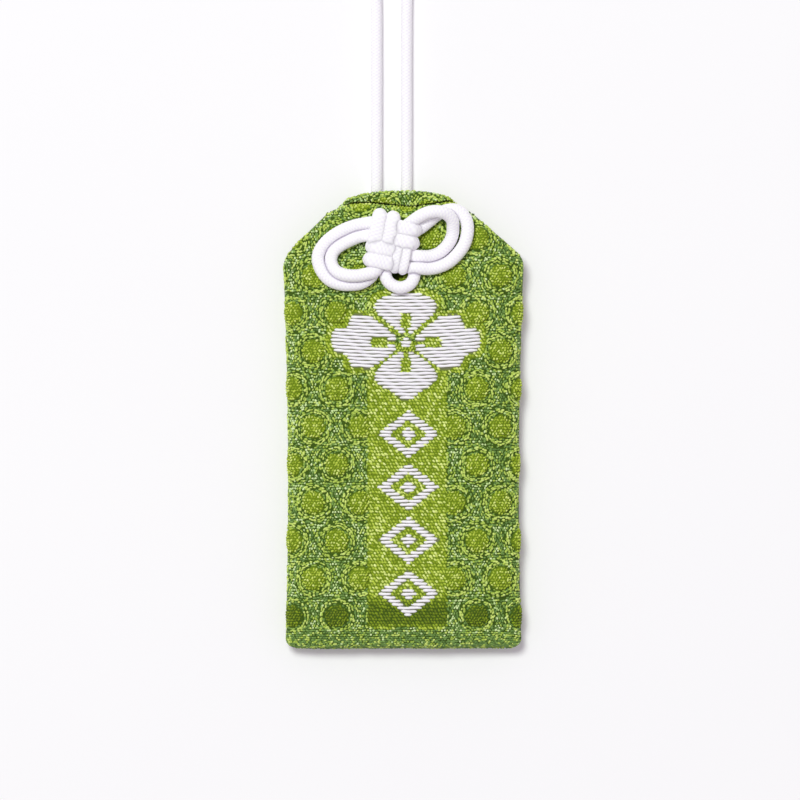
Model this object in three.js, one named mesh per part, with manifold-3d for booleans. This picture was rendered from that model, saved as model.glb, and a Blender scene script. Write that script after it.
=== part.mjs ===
// Lucky charm pouch of brocade, lying on its back with its cord drawn out past the mouth.
// Millimetres. X runs across the pouch, Y from the bottom fold to the mouth, Z up from the table.
import * as THREE from 'three';
import Module from 'manifold-3d';

const wasm = await Module();
wasm.setup();

// Pouch outline
const pouchLength = 72; // bottom fold to the top of the back lip
const shoulderWidth = 38; // widest, where the cut corners begin
const waistWidth = 36.4; // narrowest, about a third of the way up
const shoulderDrop = 10.5; // shoulders below the top of the back lip
const mouthLeft = 10.6; // centre line to the end of the left cut corner
const mouthRight = 9.2; // centre line to the end of the right cut corner
const lipRise = 2.1; // arch of the back lip above the cut corners
const bottomCornerRadius = 1.6;
const foldLength = 5; // the bottom fold rounds off over this length

// Cloth and layers
const clothThickness = 0.7;
const liningThickness = 0.25;
const layerGap = 0.3;
const seamSlack = 0.1; // beyond two cloths pressed together at the sides
const sideSlack = 0.2; // beyond one cloth at the sides and the bottom
const seamShare = 0.42; // height of the side seam as a share of the thickness
const mouthSlit = 0.35; // between the two linings at the mouth
const packetSlack = 0.1; // under the packet
const crownSlack = 0.4; // over the middle of the packet

// Cord
const cordDiameter = 1.85;
const cordClearance = 0.4; // between the cord and the cloth above it
const cordSpacing = 4.73; // between the two hanging strands
const cordShift = -1.9; // middle of the two strands from the centre line
const loopLength = 54; // pouch top to the end of the hanging loop
const cordHoleRadius = 2.6;
const cordHoleX = -1.43;
const cordHoleDrop = 11.5; // its centre below the top of the back lip
const liftReach = 1.2; // hinge of the loop beyond the back lip

// Bow knot
const knotX = -1.66;
const knotDrop = 8.17; // its centre below the top of the back lip
const knotTurn = -11 * Math.PI / 180;
const knotPitch = 1.62; // from strand to strand
const knotTube = 1.03; // the strands are drawn tight and thin in the knot
const knotGap = 0.48; // between crossing strands
const inner = 0.8; // the inner strands from the knot's centre, in pitches
const outer = 1.76; // the outer strands
const edge = 2.72; // where the strands turn back behind the knot
const sink = 0.28; // each strand goes down from over to under between these

// Raised dots of the weave, in rows staggered by half their spacing and measured along the cloth
const dotSpacing = 7.38; // across
const dotRowStep = 5.968; // from row to row
const dotX = 0.55; // one of them from the centre line
const dotY = -1.18; // and from the middle of the pouch
const dotRadius = 1.95;
const dotRise = 0.6;
const dotSink = 0.45; // into the cloth
const dotFoot = 1.08; // share of the radius at the sunk end
const dotShoulder = 0.62; // share of the radius where the top flattens
const dotShoulderRise = 0.78; // share of the rise there
const dotSides = 8;
const panelX = 0.63; // plain panel down the middle
const panelHalf = 6.23;
const panelBottom = -32.9;
const flowerX = 0.39; // flower above the panel, with neither dots in it nor beside its petals
const flowerY = 12.06;
const flowerHalfWidth = 13.8;
const flowerHalfHeight = 10.4;

// Packet inside
const packetWidth = 21;
const packetSlide = 2; // free way up to where the pouch grows thin
const cardThickness = 0.5;
const cardWidth = 26;
const paperThickness = 0.2;
const slipThickness = 1;

// Side seam threads
const threadDiameter = 0.36;
const stitchLength = 2.6;

// Heights and places that follow from these
const seamThickness = 2 * clothThickness + seamSlack;
const mouthThickness = 2 * (clothThickness + liningThickness + layerGap) + mouthSlit;
const wrapperThickness = slipThickness + 2 * (paperThickness + layerGap);
const wallStack = clothThickness + liningThickness + 2 * layerGap;
const packetStack = packetSlack + cardThickness + layerGap + wrapperThickness;
const pouchThickness = 2 * wallStack + packetStack + crownSlack;
const halfLength = pouchLength / 2;
const cordHoleY = halfLength - cordHoleDrop;
const knotY = halfLength - knotDrop;
const shoulderY = halfLength - shoulderDrop;
const cornerY = halfLength - lipRise;
const waistY = -halfLength + pouchLength * 0.36;
const cordRoom = cordDiameter + cordClearance;
const taperStart = cordHoleY - 5;
const taperEnd = cordHoleY - 1;
const cordLevel = cordDiameter / 2;

function ease(value, from, to) {
  const share = Math.min(Math.max((value - from) / (to - from), 0), 1);
  return share * share * (3 - 2 * share);
}

// Half width of the pouch without the rounding of its corners and lip
function plainHalfWidth(y, side) {
  const mouthHalf = side < 0 ? mouthLeft : mouthRight;
  if (y > shoulderY) {
    const share = Math.min((y - shoulderY) / (cornerY - shoulderY), 1);
    return shoulderWidth / 2 + (mouthHalf - shoulderWidth / 2) * share;
  }
  const reach = (y - waistY) / (shoulderY - waistY);
  return waistWidth / 2 + (shoulderWidth - waistWidth) / 2 * reach * reach;
}

function halfWidth(y, side) {
  const width = plainHalfWidth(y, side);
  const low = y + halfLength;
  if (low < bottomCornerRadius) {
    const rest = bottomCornerRadius - low;
    return width - bottomCornerRadius + Math.sqrt(bottomCornerRadius ** 2 - rest ** 2);
  }
  if (y > cornerY) {
    const rise = Math.min((y - cornerY) / lipRise, 0.97);
    return width * Math.sqrt(1 - rise * rise);
  }
  return width;
}

// Outer faces of the pouch over the plane
function backRise(y) {
  return cordRoom * ease(y, taperStart, taperEnd);
}

function crownHeight(y) {
  const mouthTop = cordRoom + mouthThickness;
  return pouchThickness + (mouthTop - pouchThickness) * ease(y, taperStart - 4, taperEnd + 6);
}

function seamHeight(y) {
  return backRise(y) + seamShare * (crownHeight(y) - backRise(y));
}

function foldShare(y) {
  const rest = Math.min(Math.max((foldLength - halfLength - y) / foldLength, 0), 1);
  return Math.sqrt(1 - rest * rest);
}

function sideShare(x, y, flat, power) {
  const across = Math.min(Math.abs(x) / plainHalfWidth(y, x), 1);
  const share = Math.max((across - flat) / (1 - flat), 0);
  return (1 - share ** power) ** (1 / power);
}

function frontZ(x, y) {
  const edge = seamHeight(y) + seamThickness / 2;
  return edge + (crownHeight(y) - edge) * sideShare(x, y, 0.25, 2.4) * foldShare(y);
}

function backZ(x, y) {
  const edge = seamHeight(y) - seamThickness / 2;
  return edge - (edge - backRise(y)) * sideShare(x, y, 0.74, 2) * foldShare(y);
}

// Mesh helpers
function closedMesh(positions, triangles) {
  const geometry = new THREE.BufferGeometry();
  geometry.setAttribute('position', new THREE.Float32BufferAttribute(positions, 3));
  geometry.setIndex(triangles);
  return geometry;
}

function toSolid(geometry) {
  const vertProperties = new Float32Array(geometry.getAttribute('position').array);
  const triVerts = new Uint32Array(geometry.getIndex().array);
  const mesh = new wasm.Mesh({ numProp: 3, vertProperties, triVerts });
  mesh.merge();
  return new wasm.Manifold(mesh);
}

function indexed(geometry) {
  const count = geometry.getAttribute('position').count;
  return closedMesh([...geometry.getAttribute('position').array], [...Array(count).keys()]);
}

function extruded(shape, depth, bottom) {
  const geometry = new THREE.ExtrudeGeometry(shape, { depth, bevelEnabled: false, curveSegments: 24 });
  geometry.translate(0, 0, bottom);
  return geometry.index ? geometry : indexed(geometry);
}

function toGeometry(solid) {
  const mesh = solid.getMesh();
  const positions = [];
  for (let i = 0; i < mesh.numVert; i++) {
    const start = i * mesh.numProp;
    positions.push(...mesh.vertProperties.subarray(start, start + 3));
  }
  return closedMesh(positions, [...mesh.triVerts]);
}

// Rows at which the pouch changes its course, from its bottom to its mouth
function rowHeights(bottom, top) {
  const rows = [];
  for (const share of [0.25, 0.6, 1]) rows.push(-halfLength + bottomCornerRadius * share);
  for (const share of [0.6, 1]) rows.push(-halfLength + foldLength * share);
  const plainRows = 6;
  const plainStart = foldLength - halfLength;
  const plainEnd = taperStart - 4;
  for (let i = 1; i <= plainRows; i++) rows.push(plainStart + (plainEnd - plainStart) * i / plainRows);
  const taperRows = 6;
  for (let i = 1; i < taperRows; i++) rows.push(plainEnd + (shoulderY - plainEnd) * i / taperRows);
  rows.push(shoulderY);
  for (const share of [0.35, 0.7, 1]) rows.push(shoulderY + (cornerY - shoulderY) * share);
  for (const share of [0.35, 0.62, 0.83]) rows.push(cornerY + lipRise * share);
  const inner = rows.filter((y) => y > bottom + 0.2 && y < top - 0.2);
  return [bottom, ...inner, top];
}

// Solid between the two faces, drawn in from the outline and from both faces
function pouchLayer(offset, inset, top, widthAt) {
  const columns = 16;
  const rows = rowHeights(-halfLength + inset, top);
  const positions = [];
  const triangles = [];
  const width = columns + 1;
  for (const face of [frontZ, backZ]) {
    for (const y of rows) {
      for (let i = 0; i <= columns; i++) {
        const across = Math.sin((i / columns - 0.5) * Math.PI);
        const x = across * (widthAt(y, across) - inset);
        const z = face(x, y) + (face === frontZ ? -offset : offset);
        positions.push(x, y, z);
      }
    }
  }
  const back = rows.length * width;
  const quad = (a, b, c, d) => triangles.push(a, b, c, a, c, d);
  for (let j = 0; j + 1 < rows.length; j++) {
    const row = j * width;
    for (let i = 0; i < columns; i++) {
      const a = row + i;
      quad(a, a + 1, a + 1 + width, a + width);
      quad(back + a, back + a + width, back + a + 1 + width, back + a + 1);
    }
    quad(row, row + width, back + row + width, back + row);
    quad(row + columns, back + row + columns, back + row + columns + width, row + columns + width);
  }
  const last = (rows.length - 1) * width;
  for (let i = 0; i < columns; i++) {
    quad(i, back + i, back + i + 1, i + 1);
    quad(last + i, last + i + 1, back + last + i + 1, back + last + i);
  }
  return toSolid(closedMesh(positions, triangles));
}

// Tube along points, with a radius at each of them
function tube(points, radii, sides) {
  const positions = [];
  const triangles = [];
  const tangents = points.map((point, i) => {
    const before = points[Math.max(i - 1, 0)];
    const after = points[Math.min(i + 1, points.length - 1)];
    return after.clone().sub(before).normalize();
  });
  let normal = new THREE.Vector3(0, 0, 1);
  if (Math.abs(tangents[0].z) > 0.9) normal = new THREE.Vector3(1, 0, 0);
  points.forEach((point, i) => {
    normal = normal.clone().addScaledVector(tangents[i], -normal.dot(tangents[i])).normalize();
    const side = tangents[i].clone().cross(normal);
    for (let k = 0; k < sides; k++) {
      const angle = k / sides * 2 * Math.PI;
      const spot = point.clone().addScaledVector(normal, Math.cos(angle) * radii[i]);
      spot.addScaledVector(side, Math.sin(angle) * radii[i]);
      positions.push(spot.x, spot.y, spot.z);
    }
  });
  for (let i = 0; i + 1 < points.length; i++) {
    for (let k = 0; k < sides; k++) {
      const a = i * sides + k;
      const b = i * sides + (k + 1) % sides;
      triangles.push(a, b, b + sides, a, b + sides, a + sides);
    }
  }
  const last = (points.length - 1) * sides;
  for (let k = 1; k + 1 < sides; k++) {
    triangles.push(0, k + 1, k);
    triangles.push(last, last + k, last + k + 1);
  }
  return closedMesh(positions, triangles);
}

function spaced(points, step) {
  const curve = new THREE.CatmullRomCurve3(points, false, 'centripetal');
  curve.arcLengthDivisions = points.length * 40;
  return curve.getSpacedPoints(Math.round(curve.getLength() / step));
}

// Hole for the cord, through both sides of the pouch
const holeShape = new THREE.Shape();
holeShape.absarc(cordHoleX, cordHoleY, cordHoleRadius, 0, Math.PI * 2);
const cordHole = toSolid(extruded(holeShape, pouchThickness + 4, -1));

// Brocade cover: one cloth folded at the bottom and sewn at both sides, open at the mouth
const coverInset = clothThickness + sideSlack;
const outside = pouchLayer(0, 0, halfLength, halfWidth);
const inside = pouchLayer(clothThickness, coverInset, halfLength + 2, plainHalfWidth);
const slitHeight = cordRoom + mouthThickness / 2;
const frontLip = new THREE.Shape();
frontLip.moveTo(-mouthLeft - 1.5, halfLength - 2.9);
frontLip.splineThru([
  new THREE.Vector2(-mouthLeft * 0.9, halfLength - 2.5),
  new THREE.Vector2(-mouthLeft * 0.58, halfLength - 1.9),
  new THREE.Vector2(-mouthLeft * 0.22, halfLength - 2.2),
  new THREE.Vector2(mouthRight * 0.14, halfLength - 2.6),
  new THREE.Vector2(mouthRight * 0.42, halfLength - 2),
  new THREE.Vector2(mouthRight * 0.75, halfLength - 1.5),
  new THREE.Vector2(mouthRight + 1.5, halfLength - 2.1),
]);
frontLip.lineTo(mouthRight + 1.5, halfLength + 2);
frontLip.lineTo(-mouthLeft - 1.5, halfLength + 2);
const aboveFrontLip = toSolid(extruded(frontLip, pouchThickness, slitHeight));

// Lining: a thinner bag that ends below the front lip
const liningOffset = clothThickness + layerGap;
const liningInset = coverInset + threadDiameter + 2 * layerGap + sideSlack / 2;
const liningTop = halfLength - 3.4;
const liningOutside = pouchLayer(liningOffset, liningInset, liningTop, plainHalfWidth);
const liningInside = pouchLayer(
  liningOffset + liningThickness, liningInset + liningThickness, halfLength, plainHalfWidth);
const lining = liningOutside.subtract(liningInside).subtract(cordHole);

// Seam threads: one running stitch along the inside of each side seam
function seamThread(side) {
  const start = -halfLength + foldLength;
  const end = shoulderY - 1;
  const stitches = Math.round((end - start) / stitchLength);
  const points = [];
  const steps = stitches * 4;
  for (let i = 0; i <= steps; i++) {
    const y = start + (end - start) * i / steps;
    const x = side * (plainHalfWidth(y, side) - coverInset - layerGap - threadDiameter / 2);
    const wave = 0.25 * Math.sin(i / 4 * Math.PI);
    points.push(new THREE.Vector3(x, y, seamHeight(y) + wave));
  }
  return tube(points, points.map(() => threadDiameter / 2), 5);
}

// Packet: a stiffening card, and a wooden slip in a paper wrapper
const packetBottom = -halfLength + liningInset + liningThickness + layerGap;
const cardBottom = wallStack + packetSlack;
const wrapperBottom = cardBottom + cardThickness + layerGap;
const slipBottom = wrapperBottom + paperThickness + layerGap;
const packetTop = taperStart - packetSlide;

function cutPlate(width, bottom, top, cut) {
  const shape = new THREE.Shape();
  shape.moveTo(-width / 2, bottom);
  shape.lineTo(width / 2, bottom);
  shape.lineTo(width / 2, top - cut);
  shape.lineTo(width / 2 - cut, top);
  shape.lineTo(-width / 2 + cut, top);
  shape.lineTo(-width / 2, top - cut);
  return shape;
}

const card = extruded(cutPlate(cardWidth, packetBottom, packetTop, 4), cardThickness, cardBottom);
const wrapperBody = toSolid(extruded(
  cutPlate(packetWidth, packetBottom, packetTop, 0.8), wrapperThickness, wrapperBottom));
const slipWidth = packetWidth - 2 * (paperThickness + layerGap);
const slipFloor = packetBottom + paperThickness + layerGap;
const slipTop = packetTop - 2;
const wrapperRoom = toSolid(extruded(
  cutPlate(slipWidth + 2 * layerGap, packetBottom + paperThickness, packetTop + 2, 0.4),
  slipThickness + 2 * layerGap, slipBottom - layerGap));
const wrapper = wrapperBody.subtract(wrapperRoom);
const slipShape = new THREE.Shape();
slipShape.moveTo(-slipWidth / 2, slipFloor);
slipShape.lineTo(slipWidth / 2, slipFloor);
slipShape.lineTo(slipWidth / 2, slipTop - slipWidth * 0.25);
slipShape.lineTo(0, slipTop);
slipShape.lineTo(-slipWidth / 2, slipTop - slipWidth * 0.25);
const slip = extruded(slipShape, slipThickness, slipBottom);

// Tied cord. Heights of the strands over the front of the pouch.
const low = knotTube / 2 + layerGap;
const under = low + knotTube + knotGap;
const over = under + knotTube + knotGap;
const middle = (under + over) / 2;
const nearUnder = under + 0.12;
const nearOver = over - 0.12;
const turning = over - 0.36;
const rising = low + 0.5;

// A spot in the knot, in strand pitches from its centre and turned with it
function inKnot(across, along, height) {
  const x = knotX + knotPitch * (across * Math.cos(knotTurn) - along * Math.sin(knotTurn));
  const y = knotY + knotPitch * (across * Math.sin(knotTurn) + along * Math.cos(knotTurn));
  return new THREE.Vector3(x, y, frontZ(x, y) + height);
}

// A spot on one of the knot's four bands, counted in quarter turns from the upper left one
function onBand(quarter, offset, along, height) {
  const places = [[-offset, along], [along, offset], [offset, -along], [-along, -offset]];
  return inKnot(...places[quarter], height);
}

// One strand of a band: over the band before it, then down and under the one after it
function bandStrand(quarter, offset) {
  const course = [
    [outer, over],
    [inner, over],
    [sink, nearOver],
    [0, middle],
    [-sink, nearUnder],
    [-inner, under],
    [-outer, under],
  ];
  return course.map(([along, height]) => onBand(quarter, offset, along, height));
}

// The turn of that strand from behind the knot round its edge
function edgeTurn(quarter, offset) {
  const course = [
    [edge - 0.52, low],
    [edge - 0.18, rising],
    [edge, under],
    [edge - 0.26, turning],
  ];
  return course.map(([along, height]) => onBand(quarter, offset, along, height));
}

// A spot beside the knot, in millimetres from its centre
function beside(across, along, height) {
  const x = knotX + across;
  const y = knotY + along;
  return new THREE.Vector3(x, y, frontZ(x, y) + height);
}

const leftStrandX = cordShift - cordSpacing / 2;
const rightStrandX = cordShift + cordSpacing / 2;
const hingeY = halfLength + liftReach;
const strandEnd = hingeY - cordLevel - layerGap;
const onTable = (x, y) => new THREE.Vector3(x, y, cordLevel);

const tiedRoute = [
  // left strand along the back and up through the hole
  onTable(leftStrandX, strandEnd),
  onTable(leftStrandX, strandEnd - 3),
  onTable(leftStrandX + 0.7, cordHoleY + 5.5),
  onTable(leftStrandX + 1.5, cordHoleY + 2.7),
  new THREE.Vector3(leftStrandX + 2.05, cordHoleY + 1.2, cordLevel + 0.75),
  inKnot(-0.12, -1.85, -2.2),
  inKnot(-0.12, -1.8, -0.9),
  inKnot(-0.12, -1.4, 0.2),
  // behind the knot and over its top edge
  inKnot(-0.35, -0.5, low),
  inKnot(-0.65, 0.6, low),
  ...edgeTurn(0, inner),
  ...bandStrand(0, inner),
  inKnot(-inner, -edge, under),
  // inner strand of the left ear
  beside(-2.7, -5.05, under),
  beside(-4.1, -5.5, under),
  beside(-5.68, -5.4, under - 0.1),
  beside(-7.1, -5, low + 0.8),
  beside(-8.5, -4.15, low + 0.1),
  beside(-9.4, -3.1, low),
  beside(-9.65, -1.8, low),
  beside(-9.05, -0.5, low),
  beside(-7.65, 0.6, low),
  beside(-6, 1.25, low + 0.5),
  inKnot(-edge, inner, under - 0.2),
  // upper right band of the knot, inner strand
  ...bandStrand(1, inner).reverse(),
  inKnot(edge - 0.26, 0.66, turning),
  inKnot(edge, 0.4, under),
  inKnot(edge, 0, rising),
  inKnot(edge, -0.7, low),
  inKnot(edge, -1.4, low),
  inKnot(edge, -2.2, low),
  // small ring below the knot
  beside(3.55, -5.4, low),
  beside(2.84, -6.5, low),
  beside(1.58, -7.1, low),
  beside(0.16, -7.06, low),
  beside(-1.02, -6.39, low),
  beside(-1.7, -5.4, low),
  inKnot(-0.9, -2.6, low),
  inKnot(-1, -2.1, low),
  inKnot(-1.35, -outer, low),
  ...edgeTurn(3, outer),
  // lower left band, outer strand, and on to the right ear
  ...bandStrand(3, outer),
  inKnot(edge, -outer, under),
  inKnot(edge + 0.8, -outer, under - 0.1),
  // outer strand of the right ear
  beside(6.6, -3.75, low + 0.3),
  beside(8.2, -3.1, low),
  beside(9.7, -2, low),
  beside(10.9, -0.5, low),
  beside(11.6, 1.2, low),
  beside(11.65, 2.9, low),
  beside(11, 4.3, low),
  beside(9.9, 5.2, low),
  beside(8.44, 5.4, low),
  beside(7.1, 5.05, low),
  beside(5.83, 4.5, low),
  beside(4.73, 4.02, low + 0.1),
  beside(3.85, 3.7, low + 0.75),
  // lower right band, outer strand
  inKnot(outer + 0.04, 2.15, under),
  ...bandStrand(2, outer).reverse(),
  ...edgeTurn(2, outer).reverse(),
  // behind the knot to its right edge
  inKnot(outer, -1, low),
  inKnot(outer - 0.05, 0, low),
  inKnot(outer - 0.05, 0.9, low),
  inKnot(outer + 0.1, 1.5, low),
  ...edgeTurn(1, outer),
  // upper right band, outer strand, and on to the left ear
  ...bandStrand(1, outer),
  inKnot(-edge, outer, under - 0.2),
  // outer strand of the left ear
  beside(-5.2, 3.35, low + 0.6),
  beside(-6.9, 3.15, low),
  beside(-8.99, 2.37, low),
  beside(-10.56, 1.02, low),
  beside(-11.43, -0.79, low),
  beside(-11.43, -3, low),
  beside(-10.49, -4.95, low),
  beside(-8.83, -6.3, low),
  beside(-7.1, -6.75, low),
  beside(-5.6, -6.25, low),
  beside(-4.55, -5.15, low),
  beside(-4, -4.1, low + 0.6),
  // upper left band, outer strand
  inKnot(-outer - 0.06, -2.2, under),
  ...bandStrand(0, outer).reverse(),
  ...edgeTurn(0, outer).reverse(),
  // behind the knot to its left edge
  inKnot(-outer, 1, low),
  inKnot(-outer, 0.2, low),
  inKnot(-2, -0.45, low),
  ...edgeTurn(3, inner),
  // lower left band, inner strand, and on to the right ear
  ...bandStrand(3, inner),
  inKnot(edge, -inner, under),
  inKnot(edge + 0.8, -inner, under - 0.1),
  // inner strand of the right ear
  beside(6.35, -1.95, low + 0.3),
  beside(7.6, -1.35, low),
  beside(8.75, -0.35, low),
  beside(9.4, 0.9, low),
  beside(9.35, 2.3, low + 0.1),
  beside(8.5, 3.6, low + 0.8),
  beside(7.1, 4.6, under),
  beside(5.52, 5.1, under + 0.05),
  beside(3.94, 5.12, under + 0.1),
  beside(2.75, 4.75, under + 0.1),
  inKnot(inner + 0.08, edge, under),
  // lower right band, inner strand
  ...bandStrand(2, inner).reverse(),
  ...edgeTurn(2, inner).reverse().slice(0, 3),
  inKnot(inner, -2.1, low - 0.5),
  // down through the hole and along the back as the right strand
  inKnot(inner + 0.1, -1.75, -0.9),
  inKnot(inner + 0.1, -1.7, -2.2),
  new THREE.Vector3(rightStrandX - 0.7, cordHoleY + 1.2, cordLevel + 0.75),
  onTable(rightStrandX - 0.45, cordHoleY + 2.7),
  onTable(rightStrandX - 0.2, cordHoleY + 5.5),
  onTable(rightStrandX, strandEnd - 3),
  onTable(rightStrandX, strandEnd),
];

const tiedPoints = spaced(tiedRoute, 0.75);
const tiedRadii = tiedPoints.map((point, i) => {
  const onBack = i < tiedPoints.length * 0.1 || i > tiedPoints.length * 0.9;
  const share = onBack ? ease(point.y, cordHoleY + 1.7, cordHoleY + 3.7) * ease(-point.z, -2.4, -1.4) : 0;
  return knotTube / 2 + (cordDiameter - knotTube) / 2 * share;
});

// Raised dots on the front, each a low dome that stands square on the cloth
function reachAcross(length, y) {
  const side = Math.sign(length);
  const step = 0.05;
  let x = 0;
  let run = 0;
  while (run < Math.abs(length)) {
    run += Math.hypot(step, frontZ(side * (x + step), y) - frontZ(side * x, y));
    x += step;
  }
  return side * x;
}

function frontNormal(x, y) {
  const step = dotRadius / 4;
  const slopeX = (frontZ(x + step, y) - frontZ(x - step, y)) / (2 * step);
  const slopeY = (frontZ(x, y + step) - frontZ(x, y - step)) / (2 * step);
  return new THREE.Vector3(-slopeX, -slopeY, 1).normalize();
}

function hasRoom(x, y) {
  const room = dotRadius + layerGap;
  const inPanel = Math.abs(x - panelX) < panelHalf && y < flowerY;
  const inFlower = Math.abs(x - flowerX) / flowerHalfWidth + Math.abs(y - flowerY) / flowerHalfHeight < 1;
  const atSide = Math.abs(x) > plainHalfWidth(y, x) - room;
  const atEnd = y < panelBottom + dotRadius - layerGap || y > cornerY - room;
  const atHole = Math.hypot(x - cordHoleX, y - cordHoleY) < cordHoleRadius + room;
  const underCord = tiedPoints.some((point) => Math.hypot(x - point.x, y - point.y) < knotTube / 2 + room);
  return !inPanel && !inFlower && !atSide && !atEnd && !atHole && !underCord;
}

function raisedDot(x, y) {
  const profile = [
    new THREE.Vector2(0, -dotSink),
    new THREE.Vector2(dotRadius * dotFoot, -dotSink),
    new THREE.Vector2(dotRadius * dotShoulder, dotRise * dotShoulderRise),
    new THREE.Vector2(0, dotRise),
  ];
  const dome = new THREE.LatheGeometry(profile, dotSides);
  const turn = new THREE.Quaternion().setFromUnitVectors(new THREE.Vector3(0, 1, 0), frontNormal(x, y));
  dome.applyQuaternion(turn);
  dome.translate(x, y, frontZ(x, y));
  return toSolid(dome);
}

const dots = [];
const rowReach = Math.ceil(halfLength / dotRowStep);
const columnReach = Math.ceil(shoulderWidth / 2 / dotSpacing) + 1;
for (let row = -rowReach; row <= rowReach; row++) {
  const y = dotY + row * dotRowStep;
  const shift = row % 2 === 0 ? 0 : dotSpacing / 2;
  for (let column = -columnReach; column <= columnReach; column++) {
    const x = reachAcross(dotX + shift + column * dotSpacing, y);
    if (hasRoom(x, y)) dots.push(raisedDot(x, y));
  }
}
console.log('raised dots ' + dots.length + ', each of ' + dots[0].volume().toFixed(2) + ' cubic mm');
const dotted = wasm.Manifold.union([outside, ...dots]);
const cover = dotted.subtract(inside).subtract(aboveFrontLip).subtract(cordHole);

// Least gap of a route to itself, between points well apart along it
function leastGap(points, radii, apart) {
  let least = Infinity;
  let where = '';
  for (let i = 0; i < points.length; i++) {
    for (let j = i + apart; j < points.length; j++) {
      const gap = points[i].distanceTo(points[j]) - radii[i] - radii[j];
      if (gap < least) {
        least = gap;
        where = points[i].toArray().map((v) => v.toFixed(1)) + ' and '
          + points[j].toArray().map((v) => v.toFixed(1));
      }
    }
  }
  return least.toFixed(2) + ' mm between ' + where;
}

const closePoints = spaced(tiedRoute, 0.15);
const closeRadii = closePoints.map(() => knotTube / 2);
console.log('tied cord, least gap to itself ' + leastGap(closePoints, closeRadii, 24));

// Hanging loop: free from the hinge on, up one strand, round the end and down the other
const loopEnd = halfLength + loopLength;
const bulge = 1.9; // each strand leans out this far before the end
const endMiddle = cordShift;
const loopRoute = [
  onTable(leftStrandX, hingeY),
  onTable(leftStrandX, hingeY + 9),
  onTable(leftStrandX, hingeY + 20),
  onTable(leftStrandX - 0.15, hingeY + 31),
  onTable(leftStrandX - bulge * 0.6, loopEnd - 12),
  onTable(leftStrandX - bulge, loopEnd - 6.5),
  onTable(leftStrandX - bulge * 0.6, loopEnd - 2.6),
  onTable(endMiddle - 1.5, loopEnd - 0.4),
  onTable(endMiddle + 1.5, loopEnd - 0.4),
  onTable(rightStrandX + bulge * 0.6, loopEnd - 2.6),
  onTable(rightStrandX + bulge, loopEnd - 6.5),
  onTable(rightStrandX + bulge * 0.6, loopEnd - 12),
  onTable(rightStrandX + 0.15, hingeY + 31),
  onTable(rightStrandX, hingeY + 20),
  onTable(rightStrandX, hingeY + 9),
  onTable(rightStrandX, hingeY),
];
const loopPoints = spaced(loopRoute, 1.6);
const loopRadii = loopPoints.map(() => cordLevel);
const roundEnd = [0.97, 0.84, 0.6, 0.3];
for (const share of roundEnd) {
  const reach = Math.sqrt(1 - share * share) * cordLevel;
  loopPoints.unshift(onTable(leftStrandX, hingeY - reach));
  loopPoints.push(onTable(rightStrandX, hingeY - reach));
  loopRadii.unshift(share * cordLevel);
  loopRadii.push(share * cordLevel);
}

// The object
const group = new THREE.Group();

function addPiece(name, geometry, color, roughness) {
  const material = new THREE.MeshStandardMaterial({ color, roughness });
  const mesh = new THREE.Mesh(geometry, material);
  mesh.name = name;
  group.add(mesh);
}

addPiece('brocade_cover', toGeometry(cover), 0x8fb338, 0.8);
addPiece('cover_lining', toGeometry(lining), 0xe8e4d8, 0.85);
addPiece('left_seam_thread', seamThread(-1), 0x7c9a34, 0.8);
addPiece('right_seam_thread', seamThread(1), 0x7c9a34, 0.8);
addPiece('stiffening_card', card, 0xd8d2c0, 0.9);
addPiece('slip_wrapper', toGeometry(wrapper), 0xf4f1e8, 0.9);
addPiece('wooden_slip', slip, 0xcaa26a, 0.7);
addPiece('tied_cord', tube(tiedPoints, tiedRadii, 6), 0xf3f1f4, 0.75);
addPiece('hanging_loop', tube(loopPoints, loopRadii, 10), 0xf3f1f4, 0.75);

export default group;
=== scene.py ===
import math

import bmesh
import bpy
import numpy as np
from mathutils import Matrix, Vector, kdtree


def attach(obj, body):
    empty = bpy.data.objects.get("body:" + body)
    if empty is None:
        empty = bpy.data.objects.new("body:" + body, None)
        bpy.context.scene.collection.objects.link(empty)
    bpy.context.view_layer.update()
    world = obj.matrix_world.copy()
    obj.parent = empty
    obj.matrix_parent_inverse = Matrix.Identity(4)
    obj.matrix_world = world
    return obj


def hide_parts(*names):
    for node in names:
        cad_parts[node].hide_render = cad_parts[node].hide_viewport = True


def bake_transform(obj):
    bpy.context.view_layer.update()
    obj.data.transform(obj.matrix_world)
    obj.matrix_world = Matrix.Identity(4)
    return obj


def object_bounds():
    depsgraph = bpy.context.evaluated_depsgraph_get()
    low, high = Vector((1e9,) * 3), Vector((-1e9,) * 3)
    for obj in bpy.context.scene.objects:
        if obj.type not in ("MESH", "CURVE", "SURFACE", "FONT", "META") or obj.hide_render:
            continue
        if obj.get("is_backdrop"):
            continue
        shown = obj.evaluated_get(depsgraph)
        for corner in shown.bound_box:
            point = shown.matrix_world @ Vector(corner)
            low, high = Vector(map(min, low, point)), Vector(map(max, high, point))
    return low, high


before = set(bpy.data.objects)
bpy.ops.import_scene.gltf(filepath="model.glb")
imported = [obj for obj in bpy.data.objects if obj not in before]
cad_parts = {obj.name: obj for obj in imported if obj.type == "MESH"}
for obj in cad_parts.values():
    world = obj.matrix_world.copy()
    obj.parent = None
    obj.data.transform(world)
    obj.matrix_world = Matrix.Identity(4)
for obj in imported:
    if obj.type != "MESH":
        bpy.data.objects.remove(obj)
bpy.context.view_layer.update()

mm = 0.001  # settings are in millimetres where no other unit is named
scene = bpy.context.scene
scene.view_settings.view_transform = "Standard"
chance = np.random.default_rng(7)

# Camera straight above, far off with a long lens
cameraView = {"middle": (-0.55, 3.07), "width": 126.14, "distance": 1500.0, "level": 3.5, "sensor": 36.0,
              "farthest": 10000.0}


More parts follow.
